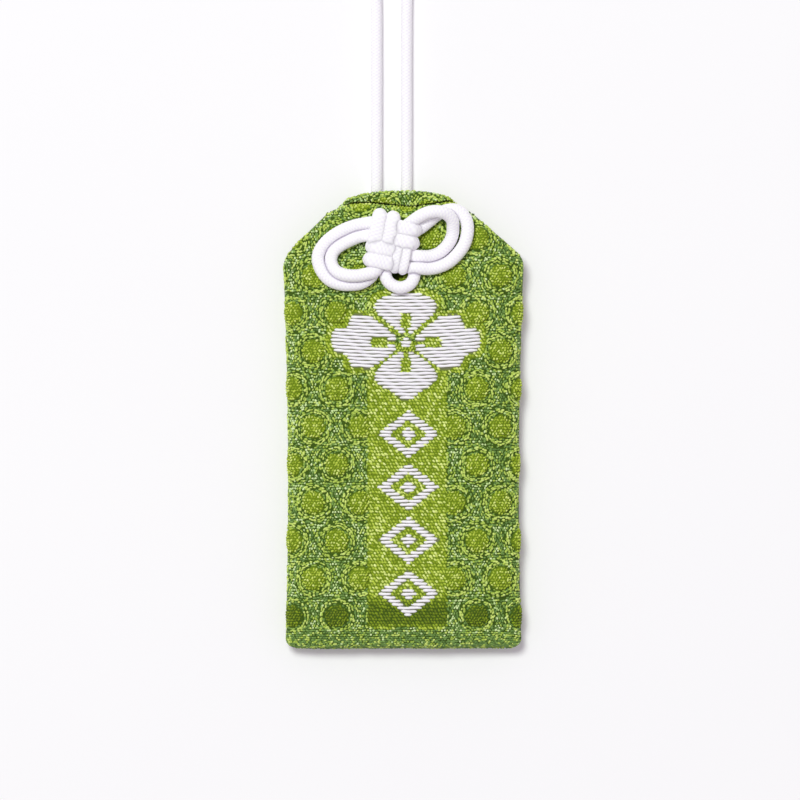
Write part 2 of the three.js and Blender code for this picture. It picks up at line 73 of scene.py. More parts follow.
def makeCamera():
    data = bpy.data.cameras.new("camera")
    data.sensor_width = cameraView["sensor"]
    data.lens = cameraView["sensor"] * cameraView["distance"] / cameraView["width"]
    data.clip_end = cameraView["farthest"] * mm
    camera = bpy.data.objects.new("camera", data)
    x, y = cameraView["middle"]
    camera.location = (x * mm, y * mm, (cameraView["distance"] + cameraView["level"]) * mm)
    scene.collection.objects.link(camera)
    scene.camera = camera


makeCamera()
print("camera set")


# Shader sockets that take part in plain sums
class Wire:
    def __init__(self, tree, socket=None):
        self.tree = tree
        self.socket = socket

    def node(self, kind, settings=None, inputs=None, output=0):
        made = self.tree.nodes.new("ShaderNode" + kind)
        for name, value in (settings or {}).items():
            setattr(made, name, value)
        for name, value in (inputs or {}).items():
            if isinstance(value, Wire):
                value.into(made, name)
            else:
                made.inputs[name].default_value = value
        return Wire(self.tree, made.outputs[output])

    def into(self, node, name):
        self.tree.links.new(self.socket, node.inputs[name])

    def __add__(self, other):
        return self.node("Math", {"operation": "ADD"}, {0: self, 1: other})

    def __mul__(self, other):
        return self.node("Math", {"operation": "MULTIPLY"}, {0: self, 1: other})

    def mix(self, low, high):
        return self.node("Mix", {"data_type": "RGBA"}, {"Factor": self, 6: low, 7: high}, 2)

    def ramp(self, stops):
        color = self.node("ValToRGB", {}, {"Fac": self})
        elements = color.socket.node.color_ramp.elements
        for place, tone in stops[1:-1]:
            elements.new(place).color = tone
        elements[0].color = stops[0][1]
        elements[-1].color = stops[-1][1]
        return color

    def attribute(self, name):
        return self.node("Attribute", {"attribute_name": name}, output=2)

    def place(self, stretch=None):
        place = self.node("TexCoord", output=3)
        return self.node("Mapping", {}, {"Vector": place, "Scale": stretch}) if stretch else place

    def noise(self, scale, detail, stretch=None):
        return self.node("TexNoise", {}, {"Vector": self.place(stretch), "Scale": scale, "Detail": detail})


def paint(red, green, blue):
    # a colour as it shows on screen, made linear
    values = [v / 255 for v in (red, green, blue)]
    linear = [v / 12.92 if v <= 0.04045 else ((v + 0.055) / 1.055) ** 2.4 for v in values]
    return (*linear, 1)


# Finishes: dull fibres, with their noise as a bump; a stretch is in waves to the metre
fibres = {"sheenRoughness": 0.5, "specular": 0.22, "detail": 2.0}


def setInputs(shader, values):
    for name, value in values.items():
        shader.inputs[name].default_value = value


def startFinish(name, roughness, sheen=0.0):
    material = bpy.data.materials.new(name)
    material.use_nodes = True
    shader = material.node_tree.nodes["Principled BSDF"]
    setInputs(shader, {
        "Roughness": roughness,
        "Sheen Weight": sheen,
        "Sheen Roughness": fibres["sheenRoughness"],
        "Specular IOR Level": fibres["specular"],
    })
    return material, shader, Wire(material.node_tree)


def makeFinish(name, colorOf, stretch, strength, depth, roughness, sheen=0.0, extra=None):
    # colorOf gives the colour, from the noise of the fibres where it uses that
    material, shader, wire = startFinish(name, roughness, sheen)
    setInputs(shader, extra or {})
    noise = wire.noise(1.0, fibres["detail"], stretch)
    bump = wire.node("Bump", {}, {"Height": noise, "Strength": strength, "Distance": depth * mm})
    bump.into(shader, "Normal")
    colorOf(wire, noise).into(shader, "Base Color")
    return material


def mixed(first, second):
    return lambda wire, noise: noise.mix(first, second)


# Form of the pouch, with the same values and formulas as its solid
form = {
    "length": 72.0,
    "shoulderWidth": 38.0,
    "waistWidth": 36.4,
    "waistShare": 0.36,
    "shoulderDrop": 10.5,
    "shoulderTurn": 1.6,  # the higher, the sharper the turn of the outline there
    "mouthLeft": 10.6,
    "mouthRight": 9.2,
    "mouthOver": 1.22,  # how far the cut corners are drawn on beyond the mouth
    "lipRise": 2.1,
    "cornerRadius": 1.6,
    "foldLength": 5.0,
    "thickness": 6.4,
    "mouthThickness": 2.85,
    "seamThickness": 1.5,
    "seamShare": 0.42,
    "section": {1: (0.25, 2.4), -1: (0.74, 2)},  # flat share of front and back, and how full their sides are
    "cordRoom": 2.25,
    "taperStart": 19.5,
    "taperEnd": 23.5,
    "crownTaper": (15.5, 29.5),
    "hole": {1: (24.5, 2.3), -1: (25.6, 1.7)},  # height and radius, front and back
    "holeX": -1.43,
}
halfLength = form["length"] / 2
shoulderY = halfLength - form["shoulderDrop"]
cornerY = halfLength - form["lipRise"]
waistY = -halfLength + form["length"] * form["waistShare"]


def ease(value, start, end):
    share = np.clip((value - start) / (end - start), 0, 1)
    return share * share * (3 - 2 * share)


def mouthHalf(side):
    return np.where(side < 0, form["mouthLeft"], form["mouthRight"])


def halfWidth(y, side):
    shoulderHalf = form["shoulderWidth"] / 2
    waistHalf = form["waistWidth"] / 2
    share = np.minimum((y - shoulderY) / (cornerY - shoulderY), form["mouthOver"])
    upper = shoulderHalf + (mouthHalf(side) - shoulderHalf) * share
    reach = (y - waistY) / (shoulderY - waistY)
    lower = waistHalf + (shoulderHalf - waistHalf) * reach ** 2
    gap = np.abs(upper - lower) * form["shoulderTurn"]
    return np.minimum(upper, lower) - np.log1p(np.exp(-gap)) / form["shoulderTurn"]


def cornerLoss(y):
    radius = form["cornerRadius"]
    rest = np.clip(radius - (y + halfLength), 0, radius)
    return radius - np.sqrt(radius ** 2 - rest ** 2)


def backRise(y):
    return form["cordRoom"] * ease(y, form["taperStart"], form["taperEnd"])


def crownHeight(y):
    drop = form["cordRoom"] + form["mouthThickness"] - form["thickness"]
    return form["thickness"] + drop * ease(y, *form["crownTaper"])


def seamHeight(y):
    return backRise(y) + form["seamShare"] * (crownHeight(y) - backRise(y))


def foldShare(y):
    rest = np.clip((form["foldLength"] - halfLength - y) / form["foldLength"], 0, 1)
    return np.sqrt(1 - rest * rest)


def sideShare(x, y, flat, power):
    across = np.minimum(np.abs(x) / halfWidth(y, x), 1)
    share = np.maximum((across - flat) / (1 - flat), 0)
    return (1 - share ** power) ** (1 / power)


def faceHeight(face, x, y):
    edge = seamHeight(y) + face * form["seamThickness"] / 2
    middle = crownHeight(y) if face > 0 else backRise(y)
    return edge + (middle - edge) * sideShare(x, y, *form["section"][face]) * foldShare(y)


# Routes, grids and meshes that several pieces share
curvePoints = 24


def between(t, start, end, first, last):
    return ((end - t) * first + (t - start) * last) / (end - start)


def runAlong(points):
    return np.concatenate([[0], np.cumsum(np.linalg.norm(np.diff(points, axis=0), axis=1))])


def unit(vectors):
    return vectors / np.maximum(np.linalg.norm(vectors, axis=1), 1e-9)[:, None]


def smoothRoute(points, step):
    # centripetal curve through the points, then even steps along it
    points = np.array(points, float)
    knots = np.vstack([2 * points[0] - points[1], points, 2 * points[-1] - points[-2]])
    fine = []
    for a, b, c, d in zip(knots, knots[1:], knots[2:], knots[3:]):
        t1 = np.linalg.norm(b - a) ** 0.5
        t2 = t1 + np.linalg.norm(c - b) ** 0.5
        t3 = t2 + np.linalg.norm(d - c) ** 0.5
        t = np.linspace(t1, t2, curvePoints, endpoint=False)[:, None]
        bc = between(t, t1, t2, b, c)
        abc = between(t, 0, t2, between(t, 0, t1, a, b), bc)
        bcd = between(t, t1, t3, bc, between(t, t2, t3, c, d))
        fine.append(between(t, t1, t2, abc, bcd))
    fine = np.vstack(fine + [points[-1:]])
    run = runAlong(fine)
    even = np.linspace(0, run[-1], max(int(round(run[-1] / step)), 2) + 1)
    return np.stack([np.interp(even, run, column) for column in fine.T], axis=1)


def startGrid(columns, rows, size):
    bm = bmesh.new()
    bmesh.ops.create_grid(bm, x_segments=columns, y_segments=rows, size=size)
    return bm, *np.array([v.co[:2] for v in bm.verts]).T


def shapeGrid(bm, spots, layers):
    # moves the points of the grid and keeps each layer's value at every point
    for vert, spot in zip(bm.verts, spots * mm):
        vert.co = spot
    for name, values in layers.items():
        layer = bm.verts.layers.float.new(name)
        for vert, value in zip(bm.verts, values):
            vert[layer] = float(value)
    bm.verts.ensure_lookup_table()


def pointsIn(bm, mask):
    return [bm.verts[i] for i in np.nonzero(mask)[0]]


def weldRim(bm, distance):
    rim = [v for v in bm.verts if v.is_boundary]
    bmesh.ops.remove_doubles(bm, verts=rim, dist=distance * mm)


def meshFrom(bm, name):
    for one in bm.faces:
        one.smooth = True
    mesh = bpy.data.meshes.new(name)
    bm.to_mesh(mesh)
    bm.free()
    return mesh


def addPiece(name, mesh, finish, body):
    piece = bpy.data.objects.new(name, mesh)
    scene.collection.objects.link(piece)
    mesh.materials.append(finish)
    if body:
        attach(piece, body)
    return piece


def thicken(piece, thickness):
    wall = piece.modifiers.new("wall", "SOLIDIFY")
    wall.thickness = thickness * mm
    wall.offset = -1


# White braided cord
braid = {
    "around": 30,
    "step": 0.11,
    "columns": 6,
    "pitch": 0.52,
    "depth": 0.06,
    "white": paint(254, 253, 255),
    # painted shade in the braid's grooves
    "grooveShade": paint(236, 231, 242),
    # painted shade where strands press on each other
    "creaseShade": paint(184, 174, 196),
    "creaseReach": 0.27,
    "creaseNear": 3.2,  # strands farther off leave no painted crease shade
    "creaseApart": 4.0,  # stretches of one strand have to be this far apart along it
    "boxedCreaseShade": 0.6,  # how much fainter the painted crease shade is on a boxed strand
    "boxedTop": 0.42,  # how much flatter its top is
    "softness": 0.5,  # light that passes through the fibres
    "softColor": (1.0, 0.96, 1.0),
    "softReach": 0.7,
    "paintedGlow": 0.05,  # painted glow: the white cord gives off a little light of its own
}


def braidColor(wire, _):
    # both the groove and the crease colour are painted shade, in the braid's grooves and where strands press
    # together
    white = wire.attribute("grooveShade").mix(braid["white"], braid["grooveShade"])
    return wire.attribute("creaseShade").mix(white, braid["creaseShade"])


whiteBraid = makeFinish(
    "white braid", braidColor, stretch=(9000, 9000, 9000), strength=0.25, depth=0.04,
    roughness=0.75, sheen=0.3,
    extra={"Subsurface Weight": braid["softness"], "Subsurface Radius": braid["softColor"],
           "Subsurface Scale": braid["softReach"] * mm, "Emission Color": braid["white"],
           "Emission Strength": braid["paintedGlow"]})


def creaseShades(place, row, path, radii, run):
    # painted crease shade: 1 where a strand presses on another stretch of the cord, 0 clear of it
    found = np.zeros(len(place))
    for i in range(len(path)):
        mine = row == i
        others = np.abs(run - run[i]) > braid["creaseApart"]
        near = others & (np.linalg.norm(path - path[i], axis=1) < braid["creaseNear"])
        if near.any():
            gap = np.linalg.norm(place[mine][:, None] - path[near][None], axis=2) - radii[near][None]
            found[mine] = np.clip(1 - gap.min(axis=1) / braid["creaseReach"], 0, 1)
    return found


def braidedTube(path, radii, flatness, boxed):
    # boxed is 0 for a round strand and 1 for one that is pressed to a flat top
    around = braid["around"]
    tangent = unit(np.gradient(path, axis=0))
    normals = np.zeros_like(path)
    normal = np.array([0.0, 0.0, 1.0])
    for i, direction in enumerate(tangent):
        normal = normal - direction * normal.dot(direction)
        normal = normal / np.linalg.norm(normal)
        normals[i] = normal
    sides = np.cross(tangent, normals)
    run = runAlong(path)
    bm, u, v = startGrid(around, len(path) - 1, 0.5)
    column = np.rint((u + 0.5) * around).astype(int) % around
    row = np.rint((v + 0.5) * (len(path) - 1)).astype(int)
    angle = column / around * 2 * math.pi
    wave = np.cos(braid["columns"] * angle) * np.cos(2 * math.pi * run[row] / braid["pitch"])
    radius = radii[row] + braid["depth"] * (wave - 1) / 2
    offset = (np.cos(angle) * radius)[:, None] * normals[row]
    offset += (np.sin(angle) * radius)[:, None] * sides[row]
    share = np.clip(offset[:, 2] / radii[row], -1, 1)
    full = np.sign(share) * np.abs(share) ** (1 - braid["boxedTop"] * boxed[row])
    offset[:, 2] = radii[row] * flatness[row] * full
    place = path[row] + offset
    # painted shade in the creases where strands press on each other
    pressed = creaseShades(place, row, path, radii * (1 + flatness) / 2, run)
    pressed *= 1 - braid["boxedCreaseShade"] * boxed[row]
    shapeGrid(bm, place, {"grooveShade": (1 - wave) / 2, "creaseShade": pressed})
    bmesh.ops.remove_doubles(bm, verts=pointsIn(bm, np.abs(u) > 0.499), dist=1e-8)
    bmesh.ops.holes_fill(bm, edges=[e for e in bm.edges if e.is_boundary], sides=around + 1)
    bmesh.ops.recalc_face_normals(bm, faces=bm.faces)
    return meshFrom(bm, "braid"), run[-1]


# Hanging loop: out of the mouth, round its end and back
loop = {
    "diameter": 1.85,
    "left": -4.265,
    "right": 0.465,
    "hingeY": 37.2,
    "startY": 35.9,
    "endY": 90.0,
    "fromHinge": [(0, 0), (0, 9), (0, 20), (0.15, 31)],  # outwards from the strand, and beyond the hinge
    "fromEnd": [(1.14, 12), (1.9, 6.5), (1.14, 2.6)],  # outwards from the strand, and short of the end
    "tip": (1.5, 0.4),
    "bendFrom": 0.4,  # beyond the start
    "bendTo": 1.4,  # beyond the hinge
}


def loopRoute():
    left, right, end = loop["left"], loop["right"], loop["endY"]
    half = [(0, loop["startY"])]
    half += [(out, loop["hingeY"] + y) for out, y in loop["fromHinge"]]
    half += [(out, end - y) for out, y in loop["fromEnd"]]
    middle = (left + right) / 2
    across, short = loop["tip"]
    flat = [(left - out, y) for out, y in half]
    flat += [(middle - across, end - short), (middle + across, end - short)]
    flat += [(right + out, y) for out, y in half[::-1]]
    return smoothRoute([(x, y, loop["diameter"] / 2) for x, y in flat], braid["step"])


def makeLoop():
    path = loopRoute()
    radii = np.full(len(path), loop["diameter"] / 2)
    mesh, length = braidedTube(path, radii, np.ones(len(path)), np.zeros(len(path)))
    piece = addPiece("hangingCord", mesh, whiteBraid, None)
    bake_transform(piece)
    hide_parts("hanging_loop")
    print("hanging cord", round(length), "mm")


makeLoop()


# Bow knot tied on the front, and the strands through the hole and along the back
knot = {
    "x": -1.66,
    "y": 27.83,
    "turn": -11,
    "tight": 0.85,  # radius where strands pass under others
    "ear": 1.03,
    "clear": 0.02,  # room under the strands that lie on the cloth
    "ring": 1.0,
    "press": 0.56,  # height of a strand in the knot to its width
    "boxed": (3.4, 5.4),  # from the middle, where strands go from boxed to round
    "low": 0.72,  # height of the lowest crossing layer
    "lift": 1.16,  # from one crossing layer to the next
    "bands": [
        {"inner": 0.73, "outer": 2.83, "edge": 3.8, "middle": -0.36, "radius": 1.2},
        {"inner": 0.51, "outer": 2.57, "edge": 3.05, "middle": 0.17, "radius": 1.18},
        {"inner": 1.07, "outer": 2.31, "edge": 3.95, "middle": 0.36, "radius": 0.82},
        {"inner": 1.23, "outer": 3.3, "edge": 3.05, "middle": -0.17, "radius": 1.2},
    ],
    # strands beside the knot: across and along from its middle, and height above the cloth
    "leftInner": [(-2.84, -4.5, 1.3), (-4.26, -4.98, 1.4), (-5.52, -5.2, 1.4), (-6.78, -5.2, 1.35),
                  (-7.88, -5.0, 1.0), (-8.91, -4.5, 0.5), (-9.57, -3.63, 0.12), (-9.75, -2.52, 0),
                  (-9.36, -1.4, 0), (-8.25, -0.42, 0), (-6.78, 0.36, 0), (-5.2, 0.98, 0.3)],
    "ringRoute": [(3.35, -4.4, -0.1), (3.23, -5.68, 0), (2.52, -6.62, 0), (1.1, -7.06, 0), (-0.32, -6.54, 0),
                  (-1.05, -5.6, 0), (-1.26, -4.57, -0.1)],
    "rightOuter": [(4.26, -4.05, 0.45), (5.83, -4.1, 0.05), (7.41, -3.75, 0), (8.99, -2.92, 0),
                   (10.41, -1.5, 0), (11.27, -0.16, 0), (11.67, 1.26, 0), (11.75, 2.52, 0),
                   (11.43, 3.78, 0), (10.72, 4.75, 0), (9.62, 5.2, 0), (8.36, 5.05, 0), (7.1, 4.5, 0),
                   (5.83, 3.5, 0), (4.57, 2.5, 0.2)],
    "leftOuter": [(-5.2, 2.87, 0.3), (-6.78, 2.44, 0), (-8.36, 1.72, 0), (-9.86, 0.73, 0), (-10.92, -0.34, 0),
                  (-11.62, -1.5, 0), (-11.8, -2.52, 0), (-11.5, -3.86, 0), (-10.68, -5.2, 0),
                  (-9.62, -6.07, 0), (-8.2, -6.54, 0), (-6.78, -6.62, 0), (-5.2, -6.42, 0),
                  (-3.94, -5.75, 0), (-3.1, -4.7, 0)],
    "rightInner": [(4.26, -2.15, 0.4), (5.83, -2.12, 0.05), (7.25, -1.62, 0), (8.36, -0.64, 0),
                   (9.06, 0.42, 0), (9.4, 1.48, 0.1), (9.44, 2.38, 0.35), (9.4, 3.31, 0.8),
                   (8.83, 4.18, 1.3), (7.88, 4.73, 1.75), (6.62, 4.89, 2.0), (5.36, 4.65, 2.0),
                   (4.1, 4.05, 1.8)],
}
low = knot["low"]
under = low + knot["lift"]
over = under + knot["lift"]
flatLevel = knot["ear"] + knot["clear"]
knotLevel = loop["diameter"] / 2


def overCloth(x, y, height, radius):
    return (x, y, float(faceHeight(1, np.array(x), np.array(y))) + height, radius)


def inKnot(across, along, height, radius=knot["tight"]):
    turn = math.radians(knot["turn"])
    x = knot["x"] + across * math.cos(turn) - along * math.sin(turn)
    y = knot["y"] + across * math.sin(turn) + along * math.cos(turn)
    return overCloth(x, y, height, radius)


def beside(across, along, height, radius=knot["ear"]):
    return overCloth(knot["x"] + across, knot["y"] + along, flatLevel + height, radius)


def onBand(quarter, name, course):
    offset = knot["bands"][quarter][name]
    found = []
    for along, height, radius in course:
        places = [(-offset, along), (along, offset), (offset, -along), (-along, -offset)]
        found.append(inKnot(*places[quarter], height, radius))
    return found


def bandStrand(quarter, name):
    # over the next band, then down between the two and under the one after
    band = knot["bands"][quarter]
    middle, wide, tight = band["middle"], band["radius"], knot["tight"]
    return onBand(quarter, name, [
        (min(2.4, band["edge"] - 0.75), over, wide),
        (middle + 0.95, over, wide),
        (middle + 0.45, over - 0.12, wide),
        (middle, (under + over) / 2, wide),
        (middle - 0.45, under + 0.12, tight),
        (middle - 0.95, under, tight),
        (-2.4, under, tight),
    ])


def edgeTurn(quarter, name):
    # from behind the knot round its edge
    band = knot["bands"][quarter]
    edge, wide = band["edge"], band["radius"]
    return onBand(quarter, name, [
        (edge - 0.85, low, knot["tight"]),
        (edge - 0.3, low + 0.5, wide * 0.9),
        (edge, under, wide),
        (edge - 0.4, over - 0.36, wide),
    ])


def strand(name, radius=knot["ear"]):
    return [beside(*spot, radius) for spot in knot[name]]


def behind(*places):
    return [inKnot(across, along, low) for across, along in places]


def onBack(x, y, rise=0.0):
    return (x, y, knotLevel + rise, knotLevel)


def knotRoute():
    left, right, hole, end = loop["left"], loop["right"], form["hole"][1][0], loop["startY"]
    return [
        # left strand along the back and up through the hole
        onBack(left, end),
        onBack(left, end - 3),
        onBack(left + 0.7, hole + 5.5),
        onBack(left + 1.5, hole + 2.7),
        onBack(left + 2.05, hole + 1.2, 0.75),
        inKnot(-0.2, -3.0, -2.2),
        inKnot(-0.2, -2.9, -0.9),
        inKnot(-0.2, -2.2, 0.2),
        # behind the knot and over its top edge
        *behind((-0.5, -0.8), (-0.7, 1.0)),
        *edgeTurn(0, "inner"),
        *bandStrand(0, "inner"),
        inKnot(-1.2, -3.3, under - 0.3, 0.95),
        *strand("leftInner"),
        inKnot(-3.6, 0.51, under - 0.2, 0.98),
        # upper right band of the knot, inner strand, and on to the ring below the knot
        *bandStrand(1, "inner")[::-1],
        *edgeTurn(1, "inner")[::-1][:3],
        *behind((2.9, 0.1), (3.0, -0.9), (3.2, -2.2)),
        *strand("ringRoute", knot["ring"]),
        *behind((-1.3, -3.6), (-1.9, -3.1)),
        # lower left band, outer strand, and on to the right ear
        *edgeTurn(3, "outer"),
        *bandStrand(3, "outer"),
        inKnot(3.3, -3.4, under - 0.3, 0.95),
        *strand("rightOuter"),
        # lower right band, outer strand
        inKnot(2.95, 2.0, under - 0.1),
        *bandStrand(2, "outer")[::-1][1:],
        *edgeTurn(2, "outer")[::-1],
        # behind the knot to its right edge
        *behind((2.3, -1.6), (2.2, 0), (2.0, 1.6), (2.1, 2.4)),
        # upper right band, outer strand, and on to the left ear
        *edgeTurn(1, "outer")[1:],
        *bandStrand(1, "outer"),
        inKnot(-3.4, 2.6, under - 0.2, 0.98),
        *strand("leftOuter"),
        # upper left band, outer strand
        inKnot(-2.9, -3.3, under - 0.4),
        *bandStrand(0, "outer")[::-1],
        *edgeTurn(0, "outer")[::-1],
        # behind the knot to its left edge
        *behind((-2.7, 1.6), (-2.6, 0.3), (-2.5, -0.7)),
        # lower left band, inner strand, and on to the right ear
        *edgeTurn(3, "inner")[1:],
        *bandStrand(3, "inner"),
        inKnot(3.3, -1.35, under - 0.2, 0.95),
        *strand("rightInner"),
        beside(2.9, 3.3, 1.4, 0.95),
        # lower right band, inner strand
        *bandStrand(2, "inner")[::-1],
        *edgeTurn(2, "inner")[::-1][:3],
        inKnot(1.1, -3.3, low - 0.5),
        # down through the hole and along the back as the right strand
        inKnot(1.1, -2.8, -0.9),
        inKnot(1.0, -2.75, -2.2),
        onBack(right - 0.7, hole + 1.2, 0.75),
        onBack(right - 0.45, hole + 2.7),
        onBack(right - 0.2, hole + 5.5),
        onBack(right, end - 3),
        onBack(right, end),
    ]


def makeKnot():
    route = smoothRoute(knotRoute(), braid["step"])
    path = route[:, :3]
    away = np.hypot(path[:, 0] - knot["x"], path[:, 1] - knot["y"])
    boxed = 1 - ease(away, *knot["boxed"])
    mesh, length = braidedTube(path, route[:, 3], 1 - (1 - knot["press"]) * boxed, boxed)
    piece = addPiece("bowKnot", mesh, whiteBraid, "pouch")
    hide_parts("tied_cord")
    print("bow knot", round(length), "mm of cord")
    onFront = path[path[:, 2] > form["cordRoom"] + form["mouthThickness"]]
    tree = kdtree.KDTree(len(onFront))
    for i, (x, y, _) in enumerate(onFront):
        tree.insert((x, y, 0), i)
    tree.balance()
    return tree


knotTree = makeKnot()


# Cloth of the pouch: s runs across it and t up it, both along the cloth from the middle of each side
clothSteps = {"section": 64, "fold": 40, "length": 500}
sectionShares = np.sin(np.linspace(0, math.pi / 2, clothSteps["section"]))
lip = {
    "front": [(-12.1, 32.7), (-10.6, 33.4), (-9.4, 33.75), (-7.5, 33.95), (-5.3, 34.0), (-2.3, 33.75),
              (1.0, 33.35), (3.5, 33.7), (5.8, 34.05), (7.4, 34.25), (8.6, 33.9), (10.7, 32.6)],
    "step": 0.2,
    "roll": {1: 0.6, -1: 1.1},
    "rollAtEnds": {1: 0.6, -1: 0.3},
    "rollEase": (-0.4, 2.6),  # this and the next three are measured from the ends of the mouth inwards
    "slitEase": (-0.3, 2.5),
    "behindEase": (-0.5, 2.1),
    "closed": (0.4, 1.5),
    "frontRoll": 0.92,  # of half a turn
    "arch": (0.1, 2.4, 0.75),  # spare width and powers of the back lip's curve
    "behind": (0.35, 3.0),  # how far its ends stay below the front lip, and rise from there
    "slit": 0.5,  # from the front lip to the strip of the back above it, before the insets of both
    "sink": 0.3,  # of the back lip's ends below the corners
    "tuck": 1.2,  # how far that strip goes down behind the front lip
    "tuckShare": 0.8,  # the most of the roll's depth that it may take
    "tuckSlope": 0.12,
    "bridge": 1.4,  # how far it goes over to the front lip at both ends of the mouth
    "bridgeLoss": 0.92,  # how much less at the seams
    "bridgeEase": (1.2, 0.2),
    "seamEnds": (12.9, 12.1),  # where the lips meet the seams, left and right
    "leanEase": (3.0, 0.8),
}
lipCurve = smoothRoute(lip["front"], lip["step"])


def centreRun(face):
    angle = np.linspace(0, math.pi / 2, clothSteps["fold"])
    fold = -halfLength + form["foldLength"] * (1 - np.cos(angle))
    y = np.concatenate([fold, np.linspace(fold[-1] + 0.1, halfLength + 1, clothSteps["length"])])
    run = runAlong(np.column_stack([y, faceHeight(face, 0 * y, y)]))
    return y, run - np.interp(0, y, run)


centreRuns = {1: centreRun(1), -1: centreRun(-1)}


def bottomRun(face):
    return centreRuns[face][1][0] - form["seamThickness"] / 2


def onShell(face, s, t):
    yList, runList = centreRuns[face]
    side = np.where(s < 0, -1.0, 1.0)
    y = np.interp(t, runList, yList)
    below = np.maximum(runList[0] - t, 0)
    full = halfWidth(y, side)
    x = sectionShares[None] * (full - cornerLoss(y))[:, None]
    z = faceHeight(face, sectionShares[None] * (full * side)[:, None], y[:, None])
    steps = np.hypot(np.diff(x, axis=1), np.diff(z, axis=1))
    run = np.concatenate([np.zeros((len(s), 1)), np.cumsum(steps, axis=1)], axis=1)
    want = np.abs(s)
    index = np.clip((run <= want[:, None]).sum(axis=1) - 1, 0, len(sectionShares) - 2)
    rows = np.arange(len(s))
    start, stop = run[rows, index], run[rows, index + 1]
    share = np.clip((want - start) / np.maximum(stop - start, 1e-9), 0, 1)
    px = x[rows, index] + share * (x[rows, index + 1] - x[rows, index])
    pz = z[rows, index] + share * (z[rows, index + 1] - z[rows, index])
    beyond = np.maximum(want - run[:, -1], 0)
    pz = pz - face * np.maximum(beyond, below)
    return np.stack([px * side, y, pz], axis=1), run[:, -1] + form["seamThickness"] / 2


def inHole(face, x, y, spare=0.0):
    holeY, radius = form["hole"][face]
    return np.hypot(x - form["holeX"], y - holeY) < radius + spare


def inMouth(s, start, end):
    return ease(mouthHalf(s) - np.abs(s), start, end)


def rollAt(face, s):
    least = lip["rollAtEnds"][face]
    return lip["roll"][face] * (least + (1 - least) * inMouth(s, *lip["rollEase"]))


def lipTop(face, s):
    if face > 0:
        return np.interp(s, lipCurve[:, 0], lipCurve[:, 1])
    spare, wide, tall = lip["arch"]
    share = np.clip(np.abs(s) / (mouthHalf(s) + spare), 0, 1)
    arch = cornerY - lip["sink"] + (form["lipRise"] + lip["sink"]) * (1 - share ** wide) ** tall
    # at its ends it goes down behind the front lip
    drop, rise = lip["behind"]
    return np.minimum(arch, lipTop(1, s) - drop + rise * inMouth(s, *lip["behindEase"]))


def lipRun(face, s):
    yList, runList = centreRuns[face]
    return np.interp(lipTop(face, s) - rollAt(face, s), yList, runList)


def closing(s):
    # 1 at both ends of the mouth, where the back lip goes over to the front lip and closes it
    return 1 - inMouth(s, *lip["closed"])


def rollEnd(face, s):
    # length of cloth from the start of the roll to where it turns down, and to where it ends
    radius = rollAt(face, s)
    half = math.pi * radius
    if face > 0:
        return half, lip["frontRoll"] * half
    axis = lipTop(face, s) - radius
    slit = lipTop(1, s) + lip["slit"] * inMouth(s, *lip["slitEase"])
    onRoll = half - radius * np.arcsin(np.clip((slit - axis) / radius, 0, 1))
    down = np.where(slit > axis, onRoll, half + axis - slit)
    inward = radius * (1 - np.cos(np.minimum(down / radius, math.pi)))
    shut = closing(s)
    seamEnd = np.where(s < 0, *lip["seamEnds"])
    start, end = lip["bridgeEase"]
    bridge = lip["bridge"] * (1 - lip["bridgeLoss"] * ease(np.abs(s), seamEnd - start, seamEnd - end))
    return down, down + (1 - shut) * np.minimum(lip["tuck"], lip["tuckShare"] * inward) + shut * bridge


def onCloth(face, s, t):
    top = lipRun(face, s)
    held = np.minimum(t, top)
    point, reach = onShell(face, s, held)
    d = 0.05
    up = np.array([0.0, 1.0, 0.0])
    outward = unit(face * np.cross(onShell(face, s + d, held)[0] - onShell(face, s - d, held)[0], up))
    radius = rollAt(face, s)
    down = rollEnd(face, s)[0]
    over = np.clip(t - top, 0, down)
    turn = np.minimum(over / radius, math.pi)
    beyond = np.maximum(over - math.pi * radius, 0)
    rise = radius * np.sin(turn) - beyond
    point = point + rise[:, None] * up
    # at its ends the roll leans in along the cut corner
    slope = (form["shoulderWidth"] / 2 - mouthHalf(s)) / (cornerY - shoulderY)
    start, end = lip["leanEase"]
    lean = slope * ease(np.abs(s), reach - start, reach - end)
    point[:, 0] -= np.sign(s) * lean * np.maximum(rise, 0)
    point = point - (radius * (1 - np.cos(turn)))[:, None] * outward
    rest = np.maximum(t - top - down, 0)
    swing = math.pi * closing(s)
    least = lip["tuckSlope"]
    inside = np.stack([0 * s, least + (1 - least) * np.sin(swing), np.cos(swing)], axis=1)
    return point - rest[:, None] * inside, reach


def clothFrame(face, s, t):
    d = 0.08
    along = unit(onCloth(face, s + d, t)[0] - onCloth(face, s - d, t)[0])
    across = onCloth(face, s, t + d)[0] - onCloth(face, s, t - d)[0]
    normal = unit(face * np.cross(along, across))
    return along, face * np.cross(normal, along), normal


